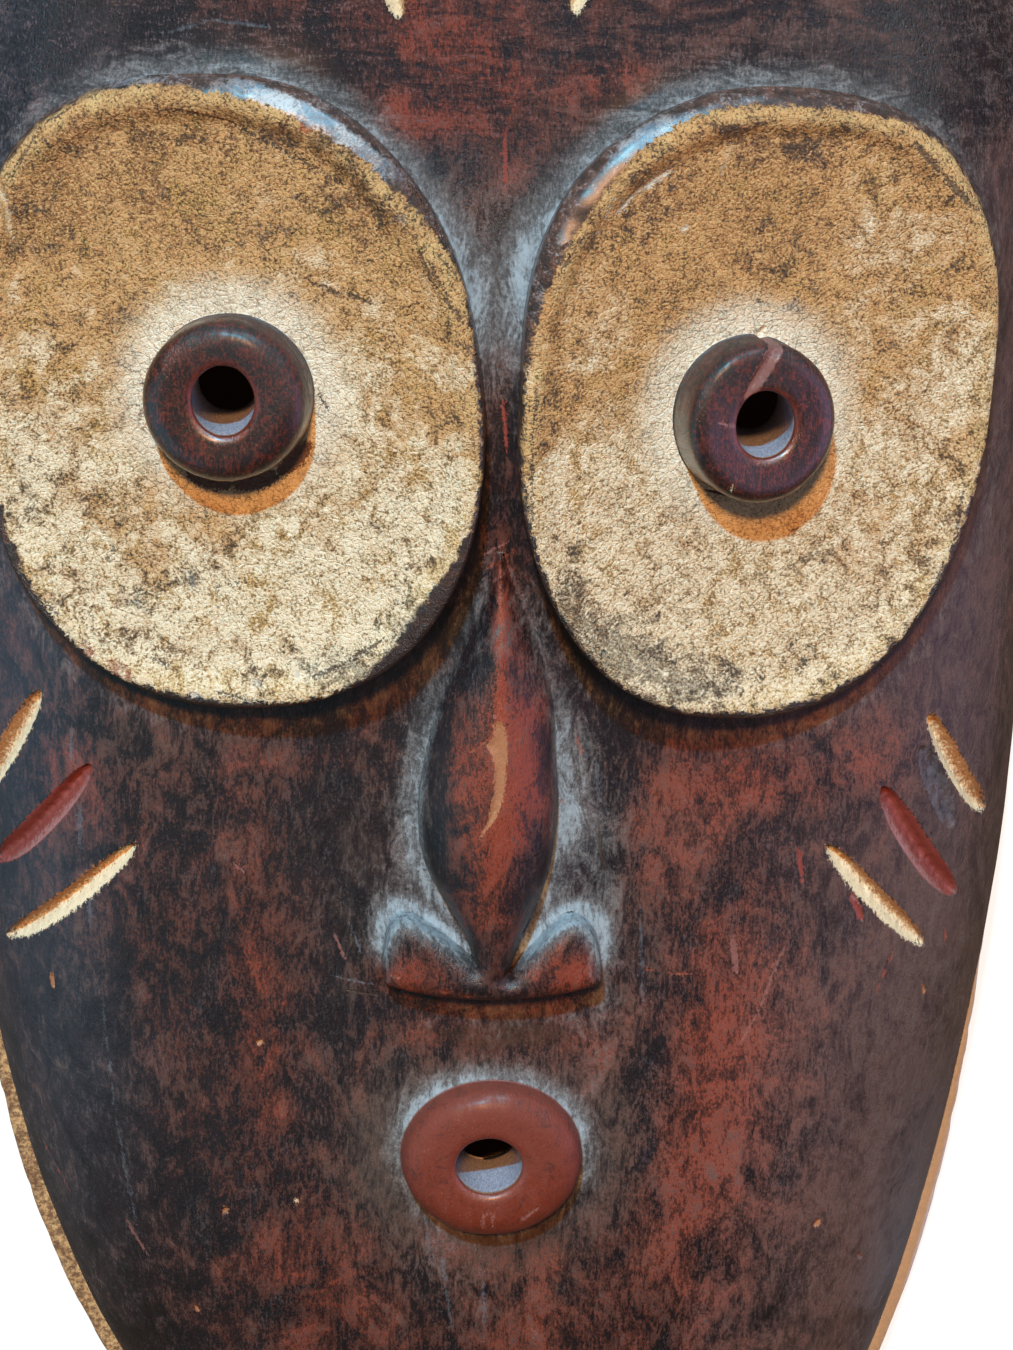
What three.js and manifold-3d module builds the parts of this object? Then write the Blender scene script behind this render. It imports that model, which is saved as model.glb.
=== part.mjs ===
// A carved wooden face mask with huge disc eyes, lying on its back: X across the face,
// Y from chin to crown, Z out of the face, all in millimetres. The origin is under the
// middle of the mask, on the flat back of its rim. The mask is carved from one block,
// hollow behind, so it is one solid.
import * as THREE from "three";
import { mergeVertices } from "three/addons/utils/BufferGeometryUtils.js";
import Module from "manifold-3d";

const wasm = await Module();
wasm.setup();

// The outline of the rim: widest a little above the middle, blunt above, long below.
const HALF_WIDTH = 108;
const WIDEST_Y = 45;
const CROWN_REACH = 160;
const CHIN_REACH = 250;
const OUTLINE_POWER_X = 2.35;
const CROWN_POWER_Y = 3.7;
const CHIN_POWER_Y = 3.1;
const CHIN_LEAN = 13.7; // the carver's chin sits this far to one side
const CHIN_LEAN_POWER = 4.2;

// The domed face and its hollow back.
const RIM_THICKNESS = 5;
// How far each ring of the rim lies in from its outline, and its height.
const RIM_PROFILE = [
  [0.56, 0],
  [0, 0.84],
  [0, 3.6],
  [0.7, 4.8],
];
const LIP_AT_CHEEK = 1;
const LIP_AT_ENDS = 4.5;
const LIP_GROWS_BELOW = [-5, -130];
const LIP_GROWS_ABOVE = [115, 190];
const FACE_HEIGHT = 60;
const DOME_POWER_CHIN = 1.5;
const DOME_POWER_EYES = 2.8;
const DOME_POWER_CROWN = 1.9;
const DOME_FULL_BELOW = [-150, 10];
const DOME_FULL_ABOVE = [200, 120];
const DOME_SHARES = [1, 0.985, 0.95, 0.89, 0.8, 0.68, 0.54, 0.39, 0.24, 0.11, 0.03];
const KEEL_HEIGHT = 7; // the brow and cheeks slope away from a keel down the middle
const KEEL_HALF_WIDTH = 94;
const KEEL_AT_CHIN = 0.15;
const KEEL_GROWS = [-10, 60];
const BACK_RIM_WIDTH = 12;
const HOLLOW_HEIGHT = 49;
const HOLLOW_FOOT = 0.5;
const HOLLOW_BELOW_RIM = 2.5;
const HOLLOW_SHARES = [1, 0.97, 0.88, 0.75, 0.58, 0.38, 0.18, 0.05];
const OUTLINE_STEPS = 64;
const HOLLOW_STEPS = 44;

// The two eye discs. They aren't quite alike, as on the carved work. A bulge is a direction,
// in degrees from the disc's inner side over its top, how far it spreads and how far it stands
// out. The bores run straight back, so each has its own place near the top of its pupil.
// A pupil and a bore are given as middle, half width and half height.
const EYES = [
  {
    x: -47.6,
    y: 71.5,
    halfWidth: 44.4,
    halfHeight: 56.7,
    turn: 7,
    tilt: -8,
    bulges: [
      [138, 50, 5],
      [-140, 50, 4.2],
      [60, 32, -0.8],
    ],
    pupil: [-48.4, 72.4, 14.9, 14.6],
    bore: [-49.3, 72.9, 5.5, 6.3],
  },
  {
    x: 46.2,
    y: 71,
    halfWidth: 44.3,
    halfHeight: 57.7,
    turn: -5,
    tilt: 12,
    bulges: [
      [138, 40, 2.3],
      [90, 35, -1.2],
      [38, 38, 2.6],
      [-45, 35, -0.7],
    ],
    pupil: [44.1, 69.8, 13.9, 14.6],
    bore: [46.2, 69.7, 5.3, 6],
  },
];
const EYE_FRONT = 69.5; // height of a disc's lip at its middle
const EYE_POWER = 2.25;
const EYE_ROOT = 20;
const EYE_STEPS = 48;
const EYE_DISH = 1.6;
// How far each ring of a disc lies in from its outline, and its height.
const EYE_PROFILE = [
  [0, -EYE_ROOT],
  [0, -1.6],
  [1.4, 0],
  [5, -0.3],
  [16, -EYE_DISH],
  [30, -EYE_DISH],
];

// The raised pupils stand square on the discs.
const PUPIL_HEIGHT = 9.5;
const PUPIL_SHOULDER = 3;
const PUPIL_ROOT = 6;
const PUPIL_STEPS = 30;

// The nose: a long almond with a ridge, narrow between the eyes.
const NOSE_ROOT_Y = 43;
const NOSE_BASE_Y = -39.5;
const NOSE_HALF_WIDTH = 13.4;
const NOSE_HEIGHT = 13;
const NOSE_WIDEST = 0.6; // as a share of its length from the root
const NOSE_RISE_AT_ROOT = 0.3;
const NOSE_POWER = 2.3;
const NOSE_ROOT = 7; // how far its sides run down into the face
const NOSE_TOP_X = 0.4;
const NOSE_LEAN = -1.4; // how far its base lies to one side of its root
const NOSE_LEAST_SPREAD = 0.08;
const NOSE_TAPER = 0.85;
const NOSE_TAPER_POWER = 2.6;
const NOSE_DROP = 0.25; // how much lower its base is than its middle, as a share
const NOSE_STATIONS = 11;
const NOSE_SECTION_STEPS = 14;

// The two nostril wings, one low carved bar with a peak at each side.
const WING_HALF_WIDTH = 20.6;
const WING_BASE_Y = -38.2;
const WING_BASE_DIP = 3.4;
const WING_PEAK = [16.4, -25.2];
const WING_VALLEY = [2.8, -35.4];
const WING_HEIGHT = 8.5;
const WING_BEVEL = 1.6;
const WING_DEPTH = 12;
const WING_CORNER = 4;
const WING_SLOPE = 5;

// The round lips, with a bore right through.
const MOUTH = { x: 0.5, y: -75.9, halfWidth: 17.5, halfHeight: 15.9, height: 5.6, shoulder: 4 };
const MOUTH_ROOT = 8;
const MOUTH_STEPS = 36;
const MOUTH_BORE = { x: -0.1, y: -76, halfWidth: 6.1, halfHeight: 5.9 };

// Gouged marks, each from its upper end to its lower end: three on each cheek, two on the brow.
const MARKS = [
  { from: [-84.5, 14.5], to: [-98.6, -11], width: 5.6 },
  { from: [-75, 1.2], to: [-95, -22.5], width: 5.2 },
  { from: [-66.9, -14], to: [-93.4, -38.2], width: 4.8 },
  { from: [81.6, 11.2], to: [96, -12], width: 5.8 },
  { from: [73, -2.5], to: [90, -27], width: 6 },
  { from: [62.8, -13.6], to: [83.9, -36.2], width: 4.9 },
  { from: [-18.9, 138], to: [-24.4, 163], width: 4.8 },
  { from: [11.3, 139.2], to: [17.4, 164], width: 4.8 },
];
const MARK_DEPTH = 2.4;
const MARK_STEPS = [14, 8];
const BORE_STEPS = 24;
const SHOULDER_TURNS = [0, 30, 60, 90]; // in degrees

const WOOD = new THREE.MeshStandardMaterial({ color: 0x4a2018, roughness: 0.5, metalness: 0 });

// A signed power: the building block of every squared oval here.
function bend(value, power) {
  return Math.sign(value) * Math.abs(value) ** power;
}

// A smooth step from 0 to 1, or down again where its ends are given the other way round.
function smooth(from, to, value) {
  const t = THREE.MathUtils.clamp((value - from) / (to - from), 0, 1);
  return t * t * (3 - 2 * t);
}

// The share of the way from the middle of the face, 0, to the rim's outline, 1.
function outlineShare(x, y) {
  const above = y > WIDEST_Y;
  const along = Math.abs(y - WIDEST_Y) / (above ? CROWN_REACH : CHIN_REACH);
  const lean = above ? 0 : CHIN_LEAN * along ** CHIN_LEAN_POWER;
  const across = Math.abs(x - lean) / HALF_WIDTH;
  return across ** OUTLINE_POWER_X + along ** (above ? CROWN_POWER_Y : CHIN_POWER_Y);
}

// The dome is full beside the eyes and slopes more gently to chin and crown.
function domeHeight(share, y, low, high) {
  const eyes = smooth(...DOME_FULL_BELOW, y) * smooth(...DOME_FULL_ABOVE, y);
  const end = y > WIDEST_Y ? DOME_POWER_CROWN : DOME_POWER_CHIN;
  const power = end + (DOME_POWER_EYES - end) * eyes;
  return low + (high - low) * Math.sqrt(Math.max(0, 1 - share ** power));
}

function keelHeight(share, x, y) {
  const strength = KEEL_AT_CHIN + (1 - KEEL_AT_CHIN) * smooth(...KEEL_GROWS, y);
  const slope = Math.max(0, 1 - Math.abs(x) / KEEL_HALF_WIDTH);
  return KEEL_HEIGHT * strength * slope * (1 - share * share);
}

function skinHeight(share, x, y) {
  return domeHeight(share, y, RIM_THICKNESS, FACE_HEIGHT) + keelHeight(share, x, y);
}

function faceHeight(x, y) {
  return skinHeight(Math.min(1, outlineShare(x, y)), x, y);
}

// The point of the outline shrunk to a share, at a turn from +X, pulled in from the rim.
function outlinePoint(share, turn, inset) {
  const c = Math.cos(turn);
  const s = Math.sin(turn);
  const powerY = s > 0 ? CROWN_POWER_Y : CHIN_POWER_Y;
  const reach = (s > 0 ? CROWN_REACH : CHIN_REACH) - inset;
  const along = bend(share ** 0.5 * s, 2 / powerY);
  const lean = s > 0 ? 0 : CHIN_LEAN * Math.abs(along) ** CHIN_LEAN_POWER;
  const across = bend(share ** 0.5 * c, 2 / OUTLINE_POWER_X);
  return new THREE.Vector2(across * (HALF_WIDTH - inset) + lean, WIDEST_Y + along * reach);
}

function ring(steps, place) {
  return Array.from({ length: steps }, (_, i) => place((i / steps) * 2 * Math.PI));
}

// A closed skin through rings of points, each end closed by a fan to its middle.
function skin(rings) {
  const steps = rings[0].length;
  const points = rings.flat();
  const middle = (list) =>
    list.reduce((sum, p) => sum.add(p), new THREE.Vector3()).divideScalar(list.length);
  const first = points.push(middle(rings[0])) - 1;
  const last = points.push(middle(rings.at(-1))) - 1;
  const faces = [];
  for (let i = 0; i < steps; i++) {
    const next = (i + 1) % steps;
    faces.push(first, next, i);
    for (let r = 0; r + 1 < rings.length; r++) {
      const low = r * steps;
      const high = low + steps;
      faces.push(low + i, low + next, high + next);
      faces.push(low + i, high + next, high + i);
    }
    const top = (rings.length - 1) * steps;
    faces.push(last, top + i, top + next);
  }
  const geometry = new THREE.BufferGeometry().setFromPoints(points);
  geometry.setIndex(faces);
  return geometry;
}

function solid(geometry) {
  geometry.deleteAttribute("normal");
  geometry.deleteAttribute("uv");
  const merged = mergeVertices(geometry, 1e-3);
  return new wasm.Manifold(
    new wasm.Mesh({
      numProp: 3,
      vertProperties: new Float32Array(merged.attributes.position.array),
      triVerts: new Uint32Array(merged.index.array),
    }),
  );
}

function geometryOf(body) {
  const mesh = body.getMesh();
  const geometry = new THREE.BufferGeometry();
  geometry.setAttribute("position", new THREE.BufferAttribute(mesh.vertProperties, 3));
  geometry.setIndex(new THREE.BufferAttribute(mesh.triVerts, 1));
  geometry.computeVertexNormals();
  return geometry;
}

// The rim's lip is narrow beside the eyes and wider towards chin and crown.
function lipWidth(y) {
  const below = smooth(...LIP_GROWS_BELOW, y);
  const above = smooth(...LIP_GROWS_ABOVE, y);
  return LIP_AT_CHEEK + (LIP_AT_ENDS - LIP_AT_CHEEK) * Math.max(below, above);
}

function head() {
  const flat = ([inset, height]) =>
    ring(OUTLINE_STEPS, (turn) => {
      const p = outlinePoint(1, turn, inset);
      return new THREE.Vector3(p.x, p.y, height);
    });
  const dome = (share) =>
    ring(OUTLINE_STEPS, (turn) => {
      const inset = lipWidth(outlinePoint(1, turn, 0).y) * share;
      const p = outlinePoint(share, turn, inset);
      return new THREE.Vector3(p.x, p.y, skinHeight(share, p.x, p.y));
    });
  return solid(
    skin([
      ...RIM_PROFILE.map(flat),
      ...DOME_SHARES.map(dome),
    ]),
  );
}

function hollow() {
  const layer = (share, drop) =>
    ring(HOLLOW_STEPS, (turn) => {
      const p = outlinePoint(share, turn, BACK_RIM_WIDTH);
      const height = domeHeight(share, p.y, HOLLOW_FOOT, HOLLOW_HEIGHT);
      return new THREE.Vector3(p.x, p.y, height - drop);
    });
  const layers = HOLLOW_SHARES.map((share) => layer(share, 0));
  return solid(skin([layer(1, HOLLOW_BELOW_RIM), ...layers]));
}

// How far a disc's outline stands out past its squared oval at a point of it.
function bulge(eye, point) {
  const direction = THREE.MathUtils.radToDeg(Math.atan2(point.y, -Math.sign(eye.x) * point.x));
  return eye.bulges.reduce((sum, [centre, spread, amount]) => {
    const gap = Math.abs(THREE.MathUtils.euclideanModulo(direction - centre + 180, 360) - 180);
    return sum + amount * smooth(spread, 0, gap);
  }, 0);
}

// One eye disc, dished inside a raised lip and tilted outwards.
function eyeDisc(eye) {
  const turned = THREE.MathUtils.degToRad(eye.turn);
  const layer = ([inset, height]) =>
    ring(EYE_STEPS, (turn) => {
      const x = bend(Math.cos(turn), 2 / EYE_POWER) * eye.halfWidth;
      const y = bend(Math.sin(turn), 2 / EYE_POWER) * eye.halfHeight;
      const point = new THREE.Vector2(x, y).rotateAround(new THREE.Vector2(), turned);
      point.setLength(point.length() + bulge(eye, point) - inset);
      return new THREE.Vector3(point.x, point.y, height);
    });
  const disc = skin(EYE_PROFILE.map(layer));
  disc.rotateY(THREE.MathUtils.degToRad(eye.tilt));
  disc.translate(eye.x, eye.y, EYE_FRONT);
  return solid(disc);
}

// A lathe-turned boss that stands along +Z, with a rounded shoulder and a dished middle.
function boss(radius, height, shoulder, root, steps) {
  const rounded = SHOULDER_TURNS.map((degrees) => {
    const a = THREE.MathUtils.degToRad(degrees);
    const r = radius - shoulder + shoulder * Math.cos(a);
    return new THREE.Vector2(r, height - shoulder + shoulder * Math.sin(a));
  });
  const profile = [
    new THREE.Vector2(0, -root),
    new THREE.Vector2(radius, -root),
    ...rounded,
    new THREE.Vector2(0, height),
  ];
  return new THREE.LatheGeometry(profile, steps).rotateX(Math.PI / 2);
}

// The height of a disc's front plane at a point of the mask.
function discHeight(eye, x) {
  return EYE_FRONT - Math.tan(THREE.MathUtils.degToRad(eye.tilt)) * (x - eye.x);
}

function pupil(eye) {
  const [x, y, halfWidth, halfHeight] = eye.pupil;
  const height = PUPIL_HEIGHT - EYE_DISH;
  const shape = boss(halfWidth, height, PUPIL_SHOULDER, PUPIL_ROOT, PUPIL_STEPS);
  shape.scale(1, halfHeight / halfWidth, 1);
  shape.rotateY(THREE.MathUtils.degToRad(eye.tilt));
  shape.translate(x, y, discHeight(eye, x));
  return solid(shape);
}

function bore(x, y, halfWidth, halfHeight) {
  const cut = new THREE.CylinderGeometry(1, 1, 2 * FACE_HEIGHT, BORE_STEPS).rotateX(Math.PI / 2);
  cut.scale(halfWidth, halfHeight, 1);
  cut.translate(x, y, FACE_HEIGHT);
  return solid(cut);
}

// Half the nose's width, as a share of its greatest, from its root, 0, to its base, 1.
function noseSpread(share) {
  if (share < NOSE_WIDEST) {
    return Math.max(NOSE_LEAST_SPREAD, Math.sin((share / NOSE_WIDEST) * (Math.PI / 2)));
  }
  const below = (share - NOSE_WIDEST) / (1 - NOSE_WIDEST);
  return 1 - NOSE_TAPER * below ** NOSE_TAPER_POWER;
}

function nose() {
  const rings = Array.from({ length: NOSE_STATIONS }, (_, i) => {
    const share = i / (NOSE_STATIONS - 1);
    const y = NOSE_ROOT_Y + (NOSE_BASE_Y - NOSE_ROOT_Y) * share;
    const x = NOSE_TOP_X + NOSE_LEAN * share;
    const half = NOSE_HALF_WIDTH * noseSpread(share);
    const low = faceHeight(0, y) - NOSE_ROOT;
    const rise = NOSE_RISE_AT_ROOT + (1 - NOSE_RISE_AT_ROOT) * smooth(-0.05, NOSE_WIDEST, share);
    const drop = 1 - NOSE_DROP * smooth(NOSE_WIDEST, 1, share);
    const tall = NOSE_ROOT + NOSE_HEIGHT * rise * drop;
    return Array.from({ length: NOSE_SECTION_STEPS }, (_, k) => {
      const turn = (k / (NOSE_SECTION_STEPS - 1)) * Math.PI;
      const across = bend(Math.cos(turn), 2 / NOSE_POWER) * half;
      return new THREE.Vector3(x + across, y, low + bend(Math.sin(turn), 2 / NOSE_POWER) * tall);
    });
  });
  return solid(skin(rings));
}

function nostrilWings() {
  const [peakX, peakY] = WING_PEAK;
  const [valleyX, valleyY] = WING_VALLEY;
  const w = WING_HALF_WIDTH - WING_BEVEL;
  const shape = new THREE.Shape();
  const top = peakY - WING_BEVEL;
  const low = WING_BASE_Y + WING_BEVEL;
  shape.moveTo(-w, low);
  shape.lineTo(-w, top - WING_CORNER);
  shape.quadraticCurveTo(-w, top, -peakX, top);
  shape.quadraticCurveTo(-peakX + WING_SLOPE, top, -valleyX, valleyY);
  shape.lineTo(valleyX, valleyY);
  shape.quadraticCurveTo(peakX - WING_SLOPE, top, peakX, top);
  shape.quadraticCurveTo(w, top, w, top - WING_CORNER);
  shape.lineTo(w, low);
  shape.quadraticCurveTo(0, low - 2 * WING_BASE_DIP, -w, low);
  const bar = new THREE.ExtrudeGeometry(shape, {
    depth: WING_DEPTH,
    curveSegments: 5,
    bevelThickness: WING_BEVEL,
    bevelSize: WING_BEVEL,
    bevelSegments: 2,
  });
  bar.translate(0, 0, faceHeight(0, WING_BASE_Y) + WING_HEIGHT - WING_DEPTH - WING_BEVEL);
  return solid(bar);
}

function mouthRing() {
  const ringShape = boss(MOUTH.halfWidth, MOUTH.height, MOUTH.shoulder, MOUTH_ROOT, MOUTH_STEPS);
  ringShape.scale(1, MOUTH.halfHeight / MOUTH.halfWidth, 1);
  ringShape.translate(MOUTH.x, MOUTH.y, faceHeight(MOUTH.x, MOUTH.y));
  return solid(ringShape);
}

// The boat-shaped cut that one gouged mark leaves in the face.
function markCut(mark) {
  const ends = [mark.from, mark.to].map(([x, y]) => new THREE.Vector3(x, y, faceHeight(x, y)));
  const along = ends[1].clone().sub(ends[0]);
  const middle = ends[0].clone().add(ends[1]).multiplyScalar(0.5);
  const up = middle.clone().setZ(faceHeight(middle.x, middle.y));
  const slopeX = faceHeight(up.x + 1, up.y) - up.z;
  const slopeY = faceHeight(up.x, up.y + 1) - up.z;
  const out = new THREE.Vector3(-slopeX, -slopeY, 1).normalize();
  const xAxis = along.clone().normalize();
  const yAxis = out.clone().cross(xAxis).normalize();
  const zAxis = xAxis.clone().cross(yAxis);
  const cut = new THREE.SphereGeometry(1, ...MARK_STEPS);
  cut.scale(along.length() / 2, mark.width / 2, MARK_DEPTH);
  cut.applyMatrix4(new THREE.Matrix4().makeBasis(xAxis, yAxis, zAxis));
  cut.translate(up.x, up.y, up.z);
  return solid(cut);
}

function carve() {
  let work = head();
  for (const eye of EYES) work = work.add(eyeDisc(eye)).add(pupil(eye));
  work = work.add(nose()).add(nostrilWings()).add(mouthRing());
  work = work.subtract(hollow());
  for (const eye of EYES) {
    work = work.subtract(bore(...eye.bore));
  }
  work = work.subtract(bore(MOUTH_BORE.x, MOUTH_BORE.y, MOUTH_BORE.halfWidth, MOUTH_BORE.halfHeight));
  for (const mark of MARKS) work = work.subtract(markCut(mark));
  return work;
}

const group = new THREE.Group();
const mask = new THREE.Mesh(geometryOf(carve()), WOOD);
mask.name = "mask";
group.add(mask);

export default group;
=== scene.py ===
import math

import bpy
import numpy as np
from mathutils import Matrix, Vector
from mathutils.geometry import delaunay_2d_cdt


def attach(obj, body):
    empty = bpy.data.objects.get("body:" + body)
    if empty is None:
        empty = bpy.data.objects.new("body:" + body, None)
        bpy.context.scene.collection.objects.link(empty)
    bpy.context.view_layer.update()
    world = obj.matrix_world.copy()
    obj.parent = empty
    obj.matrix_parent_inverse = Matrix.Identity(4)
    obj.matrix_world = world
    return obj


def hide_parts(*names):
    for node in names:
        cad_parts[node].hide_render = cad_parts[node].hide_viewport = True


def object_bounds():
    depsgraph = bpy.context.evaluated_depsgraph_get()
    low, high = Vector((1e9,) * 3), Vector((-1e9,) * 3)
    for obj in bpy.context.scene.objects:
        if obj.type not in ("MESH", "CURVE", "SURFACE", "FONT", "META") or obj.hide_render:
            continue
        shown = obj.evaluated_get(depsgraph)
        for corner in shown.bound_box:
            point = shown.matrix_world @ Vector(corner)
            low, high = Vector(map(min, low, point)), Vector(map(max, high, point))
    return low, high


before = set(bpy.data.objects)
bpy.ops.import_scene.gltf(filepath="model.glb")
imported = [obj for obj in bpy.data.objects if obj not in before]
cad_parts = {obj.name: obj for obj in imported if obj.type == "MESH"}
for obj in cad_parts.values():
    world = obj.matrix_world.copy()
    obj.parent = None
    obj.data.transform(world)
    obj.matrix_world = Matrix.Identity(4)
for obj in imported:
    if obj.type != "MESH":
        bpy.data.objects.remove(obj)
cad_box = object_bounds()

MM = 0.001

# The rim's outline, from the frame: widest a little above the middle, blunt above, long below.
LOW = np.array(cad_box[0]) / MM
HIGH = np.array(cad_box[1]) / MM
HALF_WIDTH = (HIGH[0] - LOW[0]) / 2
WIDEST_Y = 45.0
CROWN_REACH = HIGH[1] - WIDEST_Y
CHIN_REACH = WIDEST_Y - LOW[1]
OUTLINE_POWER_X = 2.35
CROWN_POWER_Y = 3.7
CHIN_POWER_Y = 3.02
CHIN_LEAN = 13.7  # the carver's chin sits this far to one side
CHIN_LEAN_POWER = 4.2

# The domed face and its hollow back.
RIM_THICKNESS = 5.0
RIM_ROUND = 1.5
LIP_AT_CHEEK = 1.3
LIP_AT_CHIN = 7.5
LIP_AT_CROWN = 4.5
FACE_HEIGHT = 60.0
DOME_POWER_CHIN = 1.5
DOME_POWER_EYES = 2.8
DOME_POWER_CROWN = 1.9
KEEL_HEIGHT = 7.0
KEEL_HALF_WIDTH = 94.0
KEEL_AT_CHIN = 0.15
BACK_RIM_WIDTH = 12.0
HOLLOW_HEIGHT = 49.0
HOLLOW_FOOT = 0.5

# The eye discs, which aren't quite alike. Angles are in degrees. A disc's own directions run
# from its inner side, 0, over its top, 90, to its outer side, 180. A bulge is a direction, how
# wide it spreads and how far it stands out; a bare stretch is where the paint stops short of
# the edge, in the same form.
DISCS = [
    dict(
        side=-1, x=-47.6, y=71.5, half_width=44.4, half_height=56.7, turn=7, tilt=-8,
        bulges=[(138, 50, 5.0), (-140, 50, 4.2), (60, 32, -0.8)],
        bare=[(72, 46, 4.2), (-48, 30, 3.6), (-142, 34, 2.2), (-95, 34, 1.6), (0, 30, 0.6)],
        pupil=(-48.4, 72.4, 14.9, 14.6), pupil_shoulder=4.4, bore=(-49.3, 72.9, 5.5, 6.3),
    ),
    dict(
        side=1, x=46.2, y=71.0, half_width=44.3, half_height=57.7, turn=-5, tilt=12,
        bulges=[(138, 40, 2.3), (90, 35, -1.2), (38, 38, 2.6), (-45, 35, -0.7)],
        bare=[(48, 46, 3.9), (98, 34, 2.6), (-30, 40, 0.6), (-100, 60, 1.7), (-150, 30, 1.2)],
        pupil=(44.1, 69.8, 13.9, 14.6), pupil_shoulder=3.0, bore=(46.2, 69.7, 5.3, 6.0),
    ),
]
DISC_FRONT = 69.5
DISC_POWER = 2.25
DISC_DISH = 2.4
DISC_WALL = 0.5
SHOULDER_DROP = 0.75  # how far a rounded edge falls, as a share of its width
LIP_RIDGE = 0.7
LIP_CREASE = 0.5
PUPIL_RISE = 7.9
PUPIL_WALL = 0.4
PUPIL_WEAR = 0.9
PUPIL_WEAR_REACH = 1.6
PUPIL_SLOPE = 0.35
PUPIL_SLOPE_REACH = 8

# The nose, from its root down: height, width to each side, rise and roundness of its section.
NOSE_STATIONS = [
    (44, 0.7, 0.8, 3.2, 1.3),
    (39.6, 1.8, 2.1, 4.2, 1.3),
    (28, 5.7, 7.4, 7.0, 1.4),
    (17, 10.4, 10.4, 9.4, 1.6),
    (5, 13.2, 11.4, 11.4, 1.9),
    (-6, 14.3, 11.9, 12.5, 2.1),
    (-16, 13.0, 10.6, 12.4, 2.1),
    (-24, 9.0, 8.2, 11.6, 2.0),
    (-31, 5.0, 5.2, 10.2, 2.0),
    (-37, 3.4, 3.5, 8.9, 2.0),
    (-42, 3.0, 3.2, 8.0, 2.0),
]

# The nostril wings, one low bar with a peak at each side, as corners with their rounding.
WING_CORNERS = [
    (-21.2, -39.6, 2.2), (-11.6, -41.5, 9.0), (-0.3, -42.3, 14.0), (10.3, -41.8, 9.0),
    (21.2, -39.3, 2.2), (20.4, -31.5, 4.0), (18.2, -27.3, 2.6), (14.6, -25.4, 3.2), (10.4, -28.4, 5.0),
    (3.1, -37.2, 0.8), (1.6, -32.0, 0.5), (-0.2, -29.0, 0.5), (-2.0, -32.0, 0.5),
    (-3.2, -35.2, 0.8), (-11.8, -27.7, 5.0),
    (-16.9, -25.1, 3.2), (-19.7, -27.5, 2.6), (-20.9, -32.0, 4.0),
]
WING_HEIGHT = 8.5
WING_WALL = 0.5
WING_SHOULDER = 3.4
WING_DROP = 0.3
WING_LEVEL_Y = -36.0
WING_BOW = 0.003
NOSE_FILLET = 1.3
NOSE_FILLET_REACH = 2.6

# The round lips.
MOUTH = dict(x=0.5, y=-75.9, half_width=17.5, half_height=15.9)
MOUTH_RISE = 6.8
MOUTH_WALL = 0.4
MOUTH_SHOULDER = 5.2
MOUTH_DROP = 0.62
MOUTH_WEAR = 1.1
MOUTH_WEAR_REACH = 2.2
MOUTH_FILLET = 0.9
MOUTH_FILLET_REACH = 2.2
MOUTH_BORE = dict(x=-0.1, y=-75.8, half_width=6.3, half_height=5.8)

# The gouged marks: ends as seen from in front, width, depth, bow to one side, and their paint.
GOUGES = [
    (-84.5, 14.2, -98.6, -11.0, 5.2, 2.6, 0.0, "cream"), (-75.0, 1.0, -95.0, -22.5, 5.2, 2.2, 0.6, "red"),
    (-66.9, -14.0, -93.4, -38.2, 4.4, 2.4, 0.5, "cream"),
    (81.6, 11.2, 95.7, -11.6, 4.9, 2.6, -0.6, "cream"), (73.0, -2.5, 90.0, -27.0, 5.6, 2.2, -0.8, "red"),
    (62.8, -13.6, 83.9, -36.2, 4.3, 2.4, -0.2, "cream"),
    (-18.9, 138.0, -24.4, 163.0, 4.8, 2.0, 0.0, "cream"),
    (11.3, 139.2, 17.4, 164.0, 4.8, 2.0, 0.0, "cream"),
]
UPPER_WALL = 0.7  # how much of a gouge's half width its steep upper wall takes
GOUGE_END_POWER = 2.6

# Small losses in the surface, in the same form. Bare ones show pale wood.
NICKS = [
    (48.2, 85.8, 39.4, 74.3, 2.9, 0.9, 0.0, "pink"), (65.9, -93.4, 65.2, -95.3, 1.5, 0.6, 0.0, "bare"),
    (84.3, -45.0, 84.9, -47.0, 0.9, 0.4, 0.0, "bare"),
    (75.0, -104.4, 76.2, -106.2, 1.1, 0.5, 0.0, "pink"),
    (-50.6, -88.7, -51.2, -90.3, 1.2, 0.5, 0.0, "bare"),
    (-57.3, -113.0, -56.7, -114.6, 1.1, 0.5, 0.0, "bare"),
    (-84.2, -42.9, -83.8, -46.0, 1.0, 0.5, 0.0, "bare"),
    (-43.4, -52.6, -44.4, -53.6, 1.1, 0.5, 0.0, "bare"), (68.0, -23.6, 70.6, -29.4, 1.6, 0.5, 0.2, "red"),
    (57.5, -14.0, 58.6, -21.0, 1.0, 0.25, 0.0, "red"),
]

# The bare crescent on the nose, worn through to the wood.
CRESCENT = [
    (0.0, 14.6), (1.1, 13.6), (1.5, 11.3), (1.7, 6.5), (1.2, -0.3), (-0.2, -4.0), (-3.7, -9.0),
    (-1.8, -4.6), (-0.8, 0.5), (-0.6, 5.4), (-1.3, 8.4), (-2.2, 9.4), (-0.9, 11.2), (-1.0, 13.4),
]
CRESCENT_DEPTH = 0.5

# Hollows and ridges of hand work, as heights.
FACET = 0.2
FACET_SIZE = (7, 24, 9)
GRAIN = 0.06
GRAIN_SIZE = (1.8, 9, 4)
PAINT_LUMP = 0.26
PAINT_LUMP_SIZE = (7, 7, 7)
LIP_LUMP = 0.32
LIP_LUMP_SIZE = (5, 5, 8)
RIM_NOTCH = 0.35
RIM_NOTCH_SIZE = (4, 4, 6)
ADZE_DEPTH = 0.9
ADZE_WIDTH = 10
ADZE_LENGTH = 16

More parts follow.
